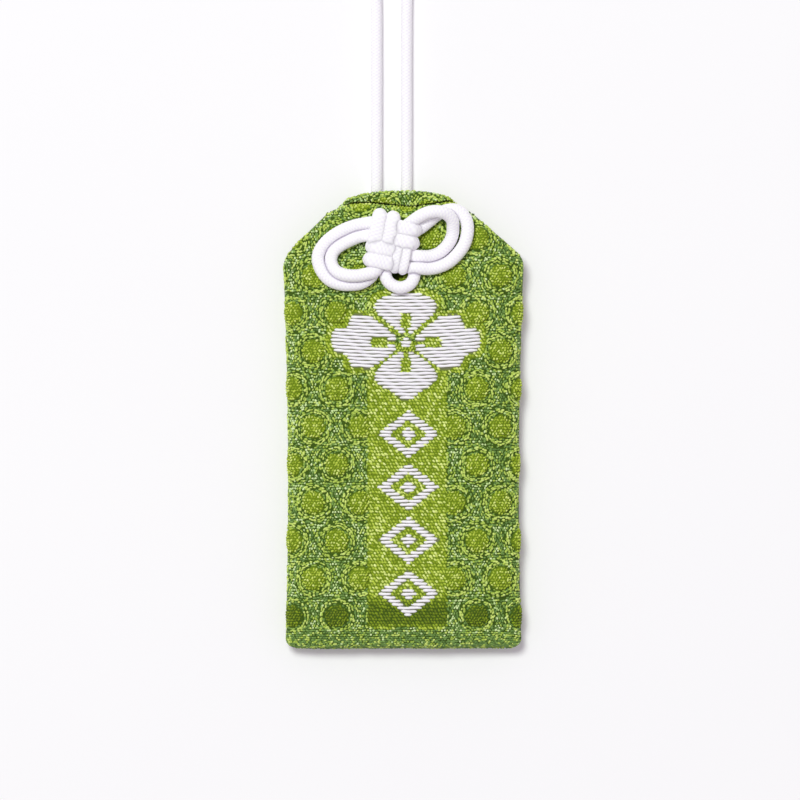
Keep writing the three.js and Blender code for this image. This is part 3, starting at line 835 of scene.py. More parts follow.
# Woven design: staggered dots, each inside two rings, and a flower and lozenges on a twill panel
lattice = {
    "x": 0.55,
    "y": -1.18,
    "wide": 7.38,
    "tall": 11.936,
    "dot": 1.82,
    "rings": (2.33, 2.7),
    "gaps": (2.0, 3.05),
    "channel": 3.2,
    "columns": (-4, 5),
    "rows": (-5, 5),
    "turn": 6.28,  # the rings start anywhere in a whole turn
}
panel = {
    "x": 0.63,
    "half": 6.23,
    "bottom": -32.9,
    "top": 10.06,
    "petalRim": 0.9,
    "border": 0.3,
    "paintedShade": [(26.5, 30.0), (31.8, 33.6)],  # where painted shade on its threads starts and ends, downwards
    "band": (0.1, 0.3),  # drop of the band below the panel, and height of its arcs
}
flower = {
    "x": 0.39,
    "y": 12.06,
    "bow": 0.0035,  # how the weft rows rise to both sides, per square of the distance
    "top": [(1.4, 0.8), (4.5, 4.5), (5.6, 5.0), (6.2, 4.9), (6.7, 4.4), (7.2, 3.5), (7.75, 2.2), (7.95, 0.0)],
    "bottom": [(1.3, 0.9), (2.9, 3.3), (4.0, 4.3), (5.1, 4.95), (5.7, 4.95), (6.7, 4.1), (7.25, 3.25),
               (7.8, 2.1), (8.35, 1.6), (8.9, 0.8), (9.1, 0.0)],
    "sides": [(1.6, 1.1), (4.0, 3.15), (5.6, 4.25), (8.1, 4.25), (8.75, 3.7), (9.1, 2.7), (9.2, 2.15),
              (10.7, 2.05), (11.4, 1.5), (11.65, 1.0), (11.75, 0.0)],
    "middle": 5.0,  # of a petal, from the middle of the flower
    "sideMargin": 0.8,
    "seeds": [(0.78, 2.3, 4.75), (0.32, 0.0, 2.4)],  # bulb and stem: half width, start and end
    "sideSeeds": [(0.8, 2.9, 5.5), (0.28, 0.0, 3.0)],
    "heart": (0.85, 0.7),
    "heartShare": 0.9,
}
lozenges = {"x": 0.79, "rows": (-2.3, -10.65, -19.0, -27.35), "wide": 4.9, "tall": 3.75, "rim": 0.6,
            "core": 0.28}


def nearestDot(s, t):
    u = (s - lattice["x"]) / lattice["wide"]
    v = (t - lattice["y"]) / lattice["tall"]
    du = (u - np.round(u)) * lattice["wide"]
    dv = (v - np.round(v)) * lattice["tall"]
    du2 = (u - np.floor(u) - 0.5) * lattice["wide"]
    dv2 = (v - np.floor(v) - 0.5) * lattice["tall"]
    first = du ** 2 + dv ** 2 <= du2 ** 2 + dv2 ** 2
    return np.where(first, du, du2), np.where(first, dv, dv2)


def fromDot(s, t):
    return np.hypot(*nearestDot(s, t))


def rowBow(s):
    return flower["bow"] * (s - flower["x"]) ** 2


def inFlower(s, t):
    # place from the middle of the flower, with the weft rows drawn straight
    return s - flower["x"], t - rowBow(s) - flower["y"]


def inPetals(s, t, margin=0.0):
    x, y = inFlower(s, t)
    found = np.zeros(s.shape, bool)
    for name, distance, off in (("top", y, x), ("bottom", -y, x), ("sides", np.abs(x), y)):
        reach, half = zip(*flower[name])
        shifted = distance - margin * np.sign(distance - flower["middle"])
        width = np.interp(shifted, reach, half, left=-1, right=-1)
        found |= (width > -1) & (np.abs(off) < width + margin * flower["sideMargin"]) & (distance > reach[0])
    return found


def heartReach(s, t):
    x, y = inFlower(s, t)
    wide, tall = flower["heart"]
    return (x / wide) ** 2 + (y / tall) ** 2


def inSeeds(s, t):
    x, y = np.abs(inFlower(s, t))
    found = np.zeros(s.shape, bool)
    for name, off, distance in (("seeds", x, y), ("sideSeeds", y, x)):
        for half, start, end in flower[name]:
            found |= (off < half) & (distance > start) & (distance < end)
    return found & (heartReach(s, t) > 1)


def inWhite(s, t):
    white = inPetals(s, t) & ~inSeeds(s, t)
    white |= heartReach(s, t) < flower["heartShare"]
    for row in lozenges["rows"]:
        share = np.abs(s - lozenges["x"]) / lozenges["wide"] + np.abs(t - rowBow(s) - row) / lozenges["tall"]
        white |= ((share < 1) & (share > lozenges["rim"])) | (share < lozenges["core"])
    return white


def bandTop(s):
    # upper border of the band along the bottom, in low arcs under the rings
    drop, arc = panel["band"]
    return panel["bottom"] - drop + arc * np.cos(2 * math.pi * (s - lattice["x"]) / lattice["wide"])


def inPanel(s, t):
    inside = (np.abs(s - panel["x"]) < panel["half"]) & (t < panel["top"]) & (t > bandTop(s))
    return inside | inPetals(s, t, panel["petalRim"])


def inPlain(s, t):
    # 1 on the panel and the petals of the front, 0 on the lattice
    border = panel["border"]
    share = ease(panel["half"] - np.abs(s - panel["x"]), -border, border) * (t < panel["top"])
    return np.maximum(share, inPetals(s, t, panel["petalRim"]))


def dip(t, start, end):
    # 1 between two heights on the lower cloth, which are given downwards, and 0 off them
    return ease(-t, *start) * (1 - ease(-t, *end))


def lowPaintedShade(t):
    # 1 at the lower end of the panel, where the cloth sinks in and its threads get painted shade
    return dip(t, *panel["paintedShade"])


# How far the figures stand up; the back is flat where it rests, and its floats fill its inset
relief = {
    1: {"dome": 0.85, "line": 0.2, "wave": 0.065, "inset": 0.24, "hollow": 0.5},
    -1: {"dome": 0.12, "line": 0.05, "wave": 0.0, "inset": 0.42, "hollow": 0.0},
    "domeSpare": 0.23,
    "domePower": 3.6,
    "lineWidth": 0.22,
    "bandFade": (-0.3, 1.2),  # above the bottom of the panel
    "lipLoss": 0.9,
    "lipFade": (-1.6, 0.0),  # beyond the start of the roll
    "plain": 0.12,
    "markFade": (0.9, 2.6),  # from the middle of the knot's strands
    "waves": [(0.33, 0.21, 0.6), (-0.17, 0.24, 2.1)],  # turn across and up the cloth, and start
    "waveFade": (0.0, 3.0),  # from the seam, like the other fades below
    "pucker": (0.05, 2.2, 5.97, 0.8),  # height, reach, length and start
    "seam": (0.12, 0.3),
    "insetFade": (0.0, 1.2),
    "hollowFade": (0.0, 4.0),
    "hollowSpan": [(27.5, 31.8), (32.4, 36.6)],  # its start and end, downwards
    "edgeShare": 0.3,
    "edgeFade": (0.3, 3.0),
    "rimFade": (0.0, 0.3),
    "insetEnd": (-0.4, 1.6),  # beyond the start of the roll
}


def pressed(point):
    # 0 under the strands of the knot, 1 clear of them
    gaps = np.array([knotTree.find((x, y, 0))[2] for x, y in point[:, :2]])
    return ease(gaps, *relief["markFade"])


def loft(face, s, t, reach, point):
    # how far the cloth stands off its plain form: dots, lattice lines, soft waves and puckers at the seams
    size = relief[face]
    away = fromDot(s, t)
    foot = lattice["dot"] + relief["domeSpare"]
    dome = size["dome"] * np.clip(1 - (away / foot) ** relief["domePower"], 0, 1)
    line = sum(np.exp(-((away - ring) / relief["lineWidth"]) ** 2) for ring in lattice["rings"])
    figure = (dome + size["line"] * line) * ease(t - panel["bottom"], *relief["bandFade"])
    pastLip = t - lipRun(face, s)
    figure = figure * (1 - relief["lipLoss"] * ease(pastLip, *relief["lipFade"]))
    if face > 0:
        plain = inPlain(s, t)
        figure = (figure * (1 - plain) + relief["plain"] * plain) * pressed(point)
    waves = sum(np.sin(a * s + b * t + c) for a, b, c in relief["waves"])
    edge = np.maximum(reach - np.abs(s), 0)
    low = t - bottomRun(face)
    height, width, length, start = relief["pucker"]
    puckers = height * np.exp(-edge / width) * np.sin(2 * math.pi * t / length + start)
    depth, width = relief["seam"]
    seam = depth * np.exp(-(edge / width) ** 2)
    inset = size["inset"] * ease(np.minimum(edge, low), *relief["insetFade"])
    inset = inset * (1 - ease(pastLip, *relief["insetEnd"]))
    hollow = size["hollow"] * dip(t, *relief["hollowSpan"]) * ease(edge, *relief["hollowFade"])
    share = relief["edgeShare"]
    figure = figure * (share + (1 - share) * ease(edge, *relief["edgeFade"])) - inset - hollow
    whole = figure + size["wave"] * waves * ease(edge, *relief["waveFade"]) + puckers - seam
    return whole * ease(edge, *relief["rimFade"]) * ease(low, *relief["rimFade"])


def clothSpot(face, s, t, lift=0.0):
    point, reach = onCloth(face, s, t)
    along, across, normal = clothFrame(face, s, t)
    height = loft(face, s, t, reach, point) + lift
    return point + height[:, None] * normal, along, across, normal


clothGrid = {
    "columns": 116,
    "rows": 210,
    "seamRows": 0.9,  # share of the rows that both sides have at the same heights
    "seamTop": 31.5,
    "halfStart": 12.0,
    "thickness": 0.3,
    "weld": 0.02,
    "paintedShadeLoss": 0.9,
}


def halfShell(face):
    # one side of the pouch as a sheet, from the bottom seam over its lip
    bm, sigma, rise = startGrid(clothGrid["columns"], clothGrid["rows"], 1)
    tau = (rise + 1) / 2
    # rows at the same heights on both sides up to the mouth, so that their edges meet
    share = tau / clothGrid["seamRows"]
    frontY, frontRun = centreRuns[1]
    yList, runList = centreRuns[face]
    lowest = bottomRun(1)
    run = lowest + (np.interp(clothGrid["seamTop"], frontY, frontRun) - lowest) * np.minimum(share, 1)
    below = np.maximum(frontRun[0] - run, 0)
    sewn = np.interp(np.interp(run, frontRun, frontY), yList, runList) - below
    free = np.maximum(tau - clothGrid["seamRows"], 0) / (1 - clothGrid["seamRows"])
    s = sigma * clothGrid["halfStart"]
    for _ in range(3):
        t = sewn + (lipRun(face, s) + rollEnd(face, s)[1] - sewn) * free
        reach = onShell(face, s, np.minimum(t, lipRun(face, s)))[1]
        s = sigma * reach
    spots = clothSpot(face, s, t)[0]
    white = inWhite(s, t) & (face > 0)
    lime = fromDot(s, t) < lattice["dot"]
    if face > 0:
        # painted shade on the lime ground at the lower end of the panel
        lime = (lime | inPanel(s, t)) * (1 - clothGrid["paintedShadeLoss"] * lowPaintedShade(t))
    shapeGrid(bm, spots, {"underLime": lime * (t > bandTop(s)), "underWhite": white})
    bmesh.ops.delete(bm, geom=pointsIn(bm, inHole(face, spots[:, 0], spots[:, 1])), context="VERTS")
    if face < 0:
        bmesh.ops.reverse_faces(bm, faces=bm.faces)
    return bm


def clothColor(wire, _):
    ground = wire.attribute("underLime").mix(paint(62, 88, 16), paint(110, 134, 18))
    # under the white floats the ground is painted greyer, for the light the white threads scatter and the
    # shade between them
    return wire.attribute("underWhite").mix(ground, paint(112, 116, 84))


def makeCloth():
    bm = halfShell(1)
    bm.from_mesh(meshFrom(halfShell(-1), "back side"))
    weldRim(bm, clothGrid["weld"])
    print("open edges", sum(e.is_boundary for e in bm.edges), "of", len(bm.edges))
    mesh = meshFrom(bm, "pouch cloth")
    finish = makeFinish("brocade ground", clothColor, stretch=(14000, 3000, 9000), strength=0.5, depth=0.05,
                        roughness=0.85, sheen=0.04)
    piece = addPiece("pouchCloth", mesh, finish, "pouch")
    thicken(piece, clothGrid["thickness"])
    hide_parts("brocade_cover")
    print("cloth", len(mesh.polygons), "faces")


makeCloth()


# Floats: the short visible lengths of the pattern threads
weave = {
    "row": 0.5426,
    "rowStart": -0.9,
    "blunt": 0.75,  # the lower, the blunter the ends of a float
    "dip": 0.35,  # of its ends
    "field": (4, 8, 24),  # how far the grids go below and above the pouch, and to both sides
    "sizeSpread": 0.15,
    "shift": 0.05,
    "ringShift": 0.08,
    "drawn": 0.4,  # how far a slant is drawn towards weft and warp
    "dotGrid": (0.42, 0.46),
    "dotSlants": (58.0, -34.0),
    "dotOdds": 0.65,
    "ringSpacing": 0.46,
    "ringOdds": (0.74, 0.88),
    "ringGaps": 0.92,
    "ringMint": 0.95,
    "gapSpacing": 0.48,
    "gapOdds": 0.85,
    "channelGrid": (0.41, 0.43),
    "channelMint": 0.4,
    "shadedRightMint": 0.07,
    "shadedRightStart": 15.2,  # few mint threads to the right of here, as painted shade where the cloth turns away from the light
    "tealOdds": 0.7,
    "bandMint": (0.04, 0.22),
    "bandFade": (-1.7, -0.3),  # above the top of the band
    "bandTeal": 0.72,
    "twillGrid": (0.5, 0.5),
    "twillSlant": -42.0,
    "seamSpare": (0.12, 0.2),  # room to the seam on the pouch, and more on the lips
    "seamSpareFade": (0.0, 0.6),
    "bottomSpare": 0.05,
    "lipSpare": 0.35,
    "holeSpare": 0.2,
    "edgeHeight": 0.4,  # share of a float's height at the seams
    "edgeFade": (0.3, 1.4),
}


def grainShape(coarse):
    # a small plump length of thread whose ends dip
    bm = bmesh.new()
    if coarse:
        bmesh.ops.create_icosphere(bm, subdivisions=1, radius=1)
    else:
        bmesh.ops.create_cube(bm, size=2)
        bmesh.ops.subdivide_edges(bm, edges=bm.edges, cuts=1, use_grid_fill=True)
        bmesh.ops.triangulate(bm, faces=bm.faces)
    for vert in bm.verts:
        vert.co.normalize()
        vert.co.x = math.copysign(abs(vert.co.x) ** weave["blunt"], vert.co.x)
        vert.co.z -= weave["dip"] * vert.co.x ** 2
    bm.verts.index_update()
    spots = np.array([v.co[:] for v in bm.verts])
    faces = np.array([[v.index for v in f.verts] for f in bm.faces])
    bm.free()
    return spots, faces


grains = {1: grainShape(False), -1: grainShape(True)}


def threadFinish(name, roughness, stops):
    def color(wire, _):
        return wire.attribute("tone").ramp(stops)

    return makeFinish(name, color, stretch=(2500, 14000, 14000), strength=0.45, depth=0.04,
                      roughness=roughness, sheen=0.08)


# the darkest stop is mostly reached through the painted shade at the lower end of the panel
limeThread = threadFinish("lime thread", 0.6, [
    (0.0, paint(92, 112, 14)),
    (0.2, paint(142, 166, 28)),
    (0.6, paint(192, 212, 76)),
    (1.0, paint(242, 252, 164)),
])
groundThread = threadFinish("teal, pale lime and mint thread", 0.65, [
    (0.0, paint(84, 119, 54)),
    (0.4, paint(130, 165, 84)),
    (0.5, paint(170, 196, 76)),
    (0.78, paint(216, 234, 128)),
    (0.82, paint(184, 214, 132)),
    (1.0, paint(226, 244, 184)),
])


def onPouch(face, s, t):
    # true where cloth is: inside the seams, below the end of the rolled lip and off the hole
    top = lipRun(face, s)
    reach = onShell(face, s, np.minimum(t, top))[1]
    point = onCloth(face, s, t)[0]
    clear = ~inHole(face, point[:, 0], point[:, 1], weave["holeSpare"])
    least, more = weave["seamSpare"]
    clear &= np.abs(s) < reach - least - more * ease(t - top, *weave["seamSpareFade"])
    clear &= t > bottomRun(face) + weave["bottomSpare"]
    return clear & (t < top + rollEnd(face, s)[1] - weave["lipSpare"])


# each kind of float: half sizes, spread of its slant, tones, and painted shade on its tone at the lower end
floatKinds = {
    "twill": {"half": (0.29, 0.18, 0.2), "spread": 10, "tones": (0.18, 0.97), "paintedShade": 0.85},
    "dot": {"half": (0.24, 0.155, 0.2), "spread": 24, "tones": (0.16, 0.84), "paintedShade": 0.8},
    "ring": {"half": (0.28, 0.17, 0.22), "spread": 12, "tones": (0.48, 0.8), "paintedShade": 0},
    "gap": {"half": (0.26, 0.165, 0.14), "spread": 14, "tones": (0.28, 0.6), "paintedShade": 0.6},
    "wisp": {"half": (0.24, 0.16, 0.2), "spread": 16, "tones": (0.46, 0.76), "paintedShade": 0},
    "mint": {"half": (0.215, 0.165, 0.21), "spread": 16, "tones": (0.82, 1.0), "paintedShade": 0},
    "teal": {"half": (0.26, 0.17, 0.16), "spread": 16, "tones": (0.06, 0.48), "paintedShade": 0},
}
# each piece of floats: the kinds in it, their thread and how far they lie above the cloth
floatPieces = {
    "TwillFloats": (["twill"], limeThread, 0.03),
    "DotFloats": (["dot"], limeThread, 0.03),
    "RingFloats": (["ring"], groundThread, 0.03),
    "GapFloats": (["gap"], groundThread, 0.0),
    "ChannelFloats": (["mint", "teal", "wisp"], groundThread, 0.01),
}


def woven(slant):
    # a slant drawn towards the directions of weft and warp
    return slant + weave["drawn"] * (np.round(slant / 90) * 90 - slant)


def floatRows(kind, s, t, slant):
    look = floatKinds[kind]
    size = np.array(look["half"]) * chance.normal(1, weave["sizeSpread"], (len(s), 3))
    angle = slant + chance.normal(0, look["spread"], len(s))
    tone = chance.uniform(*look["tones"], len(s))
    return np.column_stack([s, t, size, angle, tone])


def gridPlaces(row, column):
    below, above, half = weave["field"]
    t = np.arange(-halfLength - below, halfLength + above, row)
    s = np.arange(-half, half, column)
    s, t = np.meshgrid(s, t)
    s = s + (np.arange(len(s)) % 2)[:, None] * column / 2
    return [v.ravel() + chance.normal(0, weave["shift"], v.size) for v in (s, t)]


def ringPlaces(radius, spacing):
    # evenly round every dot of the lattice, with the slant of the ring
    number = round(2 * math.pi * radius / spacing)
    turns = np.arange(number) / number * 2 * math.pi
    found = []
    for shift in (0, 0.5):
        across = lattice["x"] + (np.arange(*lattice["columns"]) + shift) * lattice["wide"]
        along = lattice["y"] + (np.arange(*lattice["rows"]) + shift) * lattice["tall"]
        for x in across:
            for y in along:
                turn = turns + chance.uniform(0, lattice["turn"])
                turn = turn + chance.normal(0, weave["shift"], number)
                reach = radius + chance.normal(0, weave["ringShift"], number)
                place = [x + reach * np.cos(turn), y + reach * np.sin(turn), np.degrees(turn) + 90]
                found.append(np.column_stack(place))
    return np.vstack(found).T


def latticeFloats(face):
    parts = {}

    def onLattice(s, t):
        clear = onPouch(face, s, t) & (t > bandTop(s))
        return clear & ~inPanel(s, t) & ~inWhite(s, t) if face > 0 else clear

    def take(kind, mask, s, t, slant):
        rows = floatRows(kind, s[mask], t[mask], slant[mask])
        if face > 0:
            # painted shade: darker thread tones at the lower end of the front
            rows[:, 6] *= 1 - floatKinds[kind]["paintedShade"] * lowPaintedShade(t[mask])
        parts[kind] = np.vstack([parts[kind], rows]) if kind in parts else rows

    s, t = gridPlaces(*weave["dotGrid"])
    luck = chance.uniform(0, 1, len(s))
    slant = np.where(luck < weave["dotOdds"], *weave["dotSlants"])
    take("dot", onLattice(s, t) & (fromDot(s, t) < lattice["dot"]), s, t, slant)
    for radius, odds in zip(lattice["rings"], weave["ringOdds"]):
        s, t, slant = ringPlaces(radius, weave["ringSpacing"])
        luck = chance.uniform(0, 1, len(s))
        clear = onLattice(s, t)
        take("ring", clear & (luck < odds), s, t, woven(slant))
        take("gap", clear & (luck > odds) & (luck < weave["ringGaps"]), s, t, woven(slant))
        take("mint", clear & (luck > weave["ringMint"]), s, t, woven(slant))
    for radius in lattice["gaps"]:
        s, t, slant = ringPlaces(radius, weave["gapSpacing"])
        luck = chance.uniform(0, 1, len(s))
        take("gap", onLattice(s, t) & (luck < weave["gapOdds"]), s, t, woven(slant))
    # channels between the rings, and the band at the bottom
    s, t = gridPlaces(*weave["channelGrid"])
    dx, dy = nearestDot(s, t)
    luck = chance.uniform(0, 1, len(s))
    channel = onLattice(s, t) & (np.hypot(dx, dy) > lattice["channel"])
    band = onPouch(face, s, t) & (t < bandTop(s))
    slant = np.where(band, 0, woven(np.degrees(np.arctan2(dx, -dy))))
    least, more = weave["bandMint"]
    bandMint = least + more * ease(t - bandTop(s), *weave["bandFade"])
    # painted shade on the right of the front: fewer bright mint threads there
    shadedRight = (s > weave["shadedRightStart"]) & (face > 0)
    mintOdds = np.where(band, bandMint, np.where(shadedRight, weave["shadedRightMint"], weave["channelMint"]))
    mint = luck < mintOdds
    teal = ~mint & (luck < np.where(band, weave["bandTeal"], weave["tealOdds"]))
    for kind, mask in (("mint", mint), ("teal", teal), ("wisp", ~mint & ~teal)):
        take(kind, (channel | band) & mask, s, t, slant)
    if face > 0:
        s, t = gridPlaces(*weave["twillGrid"])
        slant = np.full(len(s), weave["twillSlant"])
        take("twill", onPouch(face, s, t) & inPanel(s, t) & ~inWhite(s, t), s, t, slant)
    return parts


def layFloats(face, name, rows, finish, lift):
    # one grain for each row, turned by its slant
    s, t = rows[:, 0], rows[:, 1]
    place, along, across, normal = clothSpot(face, s, t, lift)
    turn = np.radians(rows[:, 5:6])
    edge = onCloth(face, s, t)[1] - np.abs(s)
    least = weave["edgeHeight"]
    height = rows[:, 4] * (least + (1 - least) * ease(edge, *weave["edgeFade"]))
    halves = [
        (along * np.cos(turn) + across * np.sin(turn)) * rows[:, 2:3],
        (across * np.cos(turn) - along * np.sin(turn)) * rows[:, 3:4],
        normal * height[:, None],
    ]
    grainSpots, grainFaces = grains[face]
    spots = place[:, None, :]
    for k, half in enumerate(halves):
        spots = spots + grainSpots[None, :, k, None] * half[:, None, :]
    count = len(grainSpots)
    faces = grainFaces[None] + (np.arange(len(place)) * count)[:, None, None]
    mesh = bpy.data.meshes.new(name)
    mesh.from_pydata((spots.reshape(-1, 3) * mm).tolist(), [], faces.reshape(-1, 3).tolist())
    mesh.polygons.foreach_set("use_smooth", np.ones(len(mesh.polygons), bool))
    layer = mesh.attributes.new("tone", "FLOAT", "POINT")
    layer.data.foreach_set("value", np.repeat(rows[:, 6], count).astype(np.float32))
    addPiece(name, mesh, finish, "pouch")
    print(name, len(place), "floats")


def makeFloats():
    for face, side in ((1, "front"), (-1, "back")):
        parts = latticeFloats(face)
        for name, (kinds, finish, lift) in floatPieces.items():
            if kinds[0] in parts:
                layFloats(face, side + name, np.vstack([parts[kind] for kind in kinds]), finish, lift)


makeFloats()


# White floats of the flower and the lozenges, each one thread laid along its row
whiteFloat = {
    "radius": 0.225,
    "step": 0.3,
    "fewest": 4,  # steps in a thread
    "shortest": 0.3,
    "reach": 13,
    "fineStep": 0.04,
    "lift": 0.1,
    "dip": 0.3,
    "dipPower": (6, 0.8),  # at least, and for each step of its length
    "wave": (0.03, 2.1, 1.7),  # height, turn along the row and from row to row
    "plump": (0.1, 3.3, 2.3),
    "thin": (0.25, 10),  # loss of radius at its ends, and its power
    "longer": 0.06,
    "uneven": 0.1,
}


def whiteColor(wire, _):
    return wire.noise(900.0, 2.0).mix(paint(255, 254, 255), paint(238, 234, 242))


def startLine(name, radius, resolution):
    line = bpy.data.curves.new(name, "CURVE")
    line.dimensions = "3D"
    line.bevel_depth = radius * mm
    line.bevel_resolution = resolution
    line.use_fill_caps = True
    return line


def addStrand(line, spots, plump):
    one = line.splines.new("POLY")
    one.points.add(len(spots) - 1)
    one.points.foreach_set("co", np.column_stack([spots * mm, np.ones(len(spots))]).ravel())
    one.points.foreach_set("radius", plump)


def meshOf(line):
    # the curve with its round section, as a plain mesh
    holder = bpy.data.objects.new(line.name, line)
    scene.collection.objects.link(holder)
    shown = holder.evaluated_get(bpy.context.evaluated_depsgraph_get())
    mesh = bpy.data.meshes.new_from_object(shown)
    bpy.data.objects.remove(holder)
    mesh.polygons.foreach_set("use_smooth", np.ones(len(mesh.polygons), bool))
    return mesh


def runsOf(mask, s):
    # start and end of each stretch where the mask is true
    padded = np.concatenate([[False], mask, [False]])
    change = np.nonzero(padded[1:] != padded[:-1])[0]
    return [(s[a], s[b - 1]) for a, b in zip(change[::2], change[1::2])]


def whiteThread(line, j, t, start, end):
    number = max(int((end - start) / whiteFloat["step"]), whiteFloat["fewest"])
    ends = chance.normal(whiteFloat["longer"], whiteFloat["uneven"], 2)
    s = np.linspace(start - ends[0], end + ends[1], number + 1)
    part = np.abs(np.linspace(-1, 1, number + 1))
    height, turn, apart = whiteFloat["wave"]
    t = t + height * np.sin(s * turn + j * apart) + rowBow(s)
    least, more = whiteFloat["dipPower"]
    lift = whiteFloat["lift"] - whiteFloat["dip"] * part ** max(least, number * more)
    height, turn, apart = whiteFloat["plump"]
    loss, power = whiteFloat["thin"]
    plump = 1 + height * np.sin(s * turn + j * apart) - loss * part ** power
    addStrand(line, clothSpot(1, s, t, lift)[0], plump)


def makeWhiteFloats():
    line = startLine("white floats", whiteFloat["radius"], 2)
    first = math.ceil((panel["bottom"] - weave["rowStart"]) / weave["row"])
    last = math.floor((halfLength - weave["rowStart"]) / weave["row"])
    fine = np.arange(-whiteFloat["reach"], whiteFloat["reach"], whiteFloat["fineStep"])
    for j in range(first, last + 1):
        t = weave["rowStart"] + j * weave["row"]
        for start, end in runsOf(inWhite(fine, t + rowBow(fine)), fine):
            if end - start >= whiteFloat["shortest"]:
                whiteThread(line, j, t, start, end)
    mesh = meshOf(line)
    finish = makeFinish("white float", whiteColor, stretch=(2000, 16000, 16000), strength=0.4, depth=0.04,
                        roughness=0.55, sheen=0.2)
    addPiece("whiteFloats", mesh, finish, "pouch")
    print("white floats", len(mesh.polygons), "faces")


makeWhiteFloats()


# Lining: a thin bag inside the cloth, its two sides meeting at the edges and the bottom
lining = {
    "offset": 1.0,  # inside the faces of the pouch
    "inset": 1.96,  # inside its outline
    "top": 32.6,
    "thickness": 0.25,
    "columns": 112,
    "rows": 96,
    "rowPower": 1.6,  # the higher, the closer the rows at the bottom
    "turn": 0.5,  # length over which the bottom rounds off
    "sidePower": 6,
    "sag": (0.06, 0.5, 0.7),
    "holeSpare": 0.3,
    "weld": 0.01,
    "flat": (0.0345, 0.136),  # in metres
    "area": 0.0044,  # in square metres
}


def liningFinish():
    # fine over-and-under checks of one colour
    material, shader, wire = startFinish("plain lining", 0.85, 0.1)
    check = wire.node("TexChecker", {}, {"Vector": wire.place((4000, 4000, 4000)), "Scale": 1.0}, 1)
    color = (check * 0.5 + wire.noise(700.0, 3.0) * 0.5).mix(paint(238, 234, 224), paint(222, 216, 202))
    color.into(shader, "Base Color")
    bump = wire.node("Bump", {}, {"Height": check, "Strength": 0.3, "Distance": 0.05 * mm})
    bump.into(shader, "Normal")
    return material


def makeLining():
    bm, u, v = startGrid(lining["columns"], lining["rows"], 0.5)
    turn, rise = u + 0.5, v + 0.5
    front = turn <= 0.5
    across = np.where(front, np.sin((2 * turn - 0.5) * math.pi), np.sin((1.5 - 2 * turn) * math.pi))
    bottom = lining["inset"] - halfLength
    y = bottom + (lining["top"] - bottom) * rise ** lining["rowPower"]
    x = across * (halfWidth(y, across) - lining["inset"])
    top = faceHeight(1, x, y) - lining["offset"]
    base = faceHeight(-1, x, y) + lining["offset"]
    rest = np.clip((bottom + lining["turn"] - y) / lining["turn"], 0, 1)
    share = np.sqrt(1 - np.abs(across) ** lining["sidePower"]) * np.sqrt(1 - rest ** 2)
    height, turnUp, turnAcross = lining["sag"]
    sag = height * np.sin(turnUp * y + turnAcross * x) * share
    z = (top + base) / 2 + np.where(front, 0.5, -0.5) * (top - base) * share + sag
    shapeGrid(bm, np.column_stack([x, y, z]), {})
    cut = inHole(1, x, y, lining["holeSpare"]) | inHole(-1, x, y, lining["holeSpare"])
    bmesh.ops.delete(bm, geom=pointsIn(bm, cut), context="VERTS")
    weldRim(bm, lining["weld"])
    bmesh.ops.recalc_face_normals(bm, faces=bm.faces)
    print("lining area", sum(f.calc_area() for f in bm.faces))
    piece = addPiece("liningBag", meshFrom(bm, "lining"), liningFinish(), "pouch")
    thicken(piece, lining["thickness"])
    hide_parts("cover_lining")


makeLining()


# Seam threads: two plies twisted together, in a running stitch inside each side seam
seam = {"inset": 1.38, "stitch": 2.6, "depth": 0.25, "ply": 0.09, "apart": 0.081, "twist": 0.7,
        "step": 0.09, "end": 1.0}
sewingThread = makeFinish("green sewing thread", mixed(paint(96, 122, 34), paint(150, 172, 72)),
                          stretch=(9000, 9000, 9000), strength=0.4, depth=0.03, roughness=0.6, sheen=0.1)


def makeSeamThread(name, node, side):
    start = form["foldLength"] - halfLength
    end = shoulderY - seam["end"]
    y = np.linspace(start, end, int((end - start) / seam["step"]))
    wave = np.sin((y - start) / seam["stitch"] * math.pi)
    x = side * (halfWidth(y, np.full(len(y), side)) - seam["inset"])
    z = seamHeight(y) + seam["depth"] * wave
    line = startLine(name, seam["ply"], 1)
    for phase in (0, math.pi):
        angle = 2 * math.pi * y / seam["twist"] + phase
        offset = np.column_stack([np.cos(angle), 0 * y, np.sin(angle)]) * seam["apart"]
        addStrand(line, np.column_stack([x, y, z]) + offset, np.ones(len(y)))
    mesh = meshOf(line)
    piece = addPiece(name, mesh, sewingThread, "pouch")
    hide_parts(node)
    print(name, len(mesh.polygons), "faces")


makeSeamThread("leftSeamThread", "left_seam_thread", -1.0)
makeSeamThread("rightSeamThread", "right_seam_thread", 1.0)


# Packet: card, paper and wood on the solids as they are
def paperColor(wire, noise):
    # long fibres in a second direction
    crossing = wire.noise(1.0, 3.0, (300, 3600, 3600))
    return (noise * crossing * 1.6).mix(paint(247, 244, 236), paint(220, 214, 200))


def woodColor(wire, noise):
    # straight grain along the slip, bent a little by noise
    inputs = {"Vector": wire.place((1, 0.06, 1)), "Scale": 340.0, "Distortion": 3.0, "Detail": 2.0}
    bands = wire.node("TexWave", {"bands_direction": "X"}, inputs, 1)
    return (bands * 0.65 + noise * 0.35).mix(paint(228, 196, 146), paint(190, 148, 94))


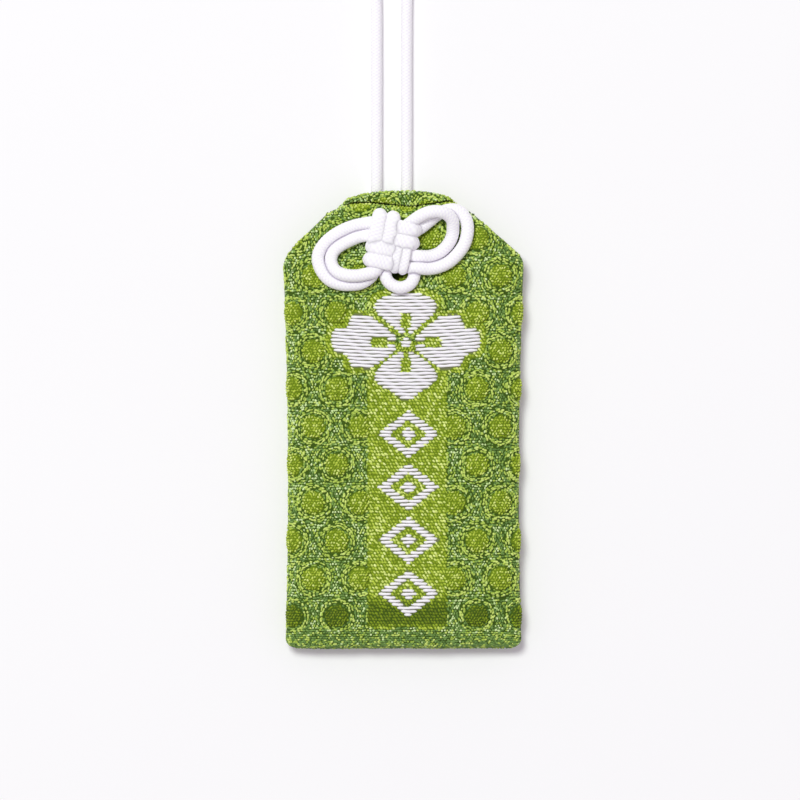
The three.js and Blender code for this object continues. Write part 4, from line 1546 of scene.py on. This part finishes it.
packetFinishes = {
    "stiffening_card": makeFinish("uncoated card", mixed(paint(214, 208, 192), paint(188, 180, 162)),
                                  stretch=(2600, 1500, 2600), strength=0.35, depth=0.05, roughness=0.9),
    "slip_wrapper": makeFinish("long-fibre paper", paperColor, stretch=(4200, 260, 4200), strength=0.3,
                               depth=0.04, roughness=0.85),
    "wooden_slip": makeFinish("planed cypress", woodColor, stretch=(5200, 130, 5200), strength=0.35,
                              depth=0.05, roughness=0.55),
}
for node, finish in packetFinishes.items():
    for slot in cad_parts[node].material_slots:
        slot.material = finish
print("packet finished")


# Floor and soft studio light from the upper left; places and sizes in metres
studio = {
    "sky": 0.38,
    "skyColor": (1.03, 0.925, 1.05, 1),
    "key": 27.8,
    "keyColor": (0.985, 1.035, 0.975),
    "keyPlace": (-0.4, 0.63, 1.84),
    "keySize": 0.6,
    "floorHalf": 2,
    "floorDrop": 0.00005,
    "paperGlow": 0.15,
}


def makeStudio():
    bm = startGrid(4, 4, studio["floorHalf"])[0]
    bmesh.ops.translate(bm, verts=bm.verts, vec=(0, 0, -studio["floorDrop"]))
    mesh = meshFrom(bm, "floor")
    floor = bpy.data.objects.new("floor", mesh)
    scene.collection.objects.link(floor)
    material, shader, wire = startFinish("white paper", 0.9)
    color = wire.noise(14.0, 1.0).mix(paint(250, 251, 250), paint(248, 249, 249))
    color.into(shader, "Base Color")
    # the camera sees some of the paper's own white, so that its shadows stay pale
    glow = wire.node("Emission", {}, {"Color": paint(253, 242, 255), "Strength": 1.0})
    seen = wire.node("LightPath")
    lit = Wire(wire.tree, shader.outputs[0])
    both = wire.node("MixShader", {}, {0: seen * studio["paperGlow"], 1: lit, 2: glow})
    both.into(material.node_tree.nodes["Material Output"], "Surface")
    mesh.materials.append(material)
    floor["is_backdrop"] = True
    world = bpy.data.worlds.new("studio")
    world.use_nodes = True
    setInputs(world.node_tree.nodes["Background"], {"Color": studio["skyColor"], "Strength": studio["sky"]})
    scene.world = world
    key = bpy.data.lights.new("key", "AREA")
    key.size = studio["keySize"]
    key.energy = studio["key"]
    key.color = studio["keyColor"]
    lamp = bpy.data.objects.new("key", key)
    lamp.location = studio["keyPlace"]
    lamp.rotation_euler = (-lamp.location).to_track_quat("-Z", "Y").to_euler()
    scene.collection.objects.link(lamp)
    print("studio set")


makeStudio()

low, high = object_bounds()
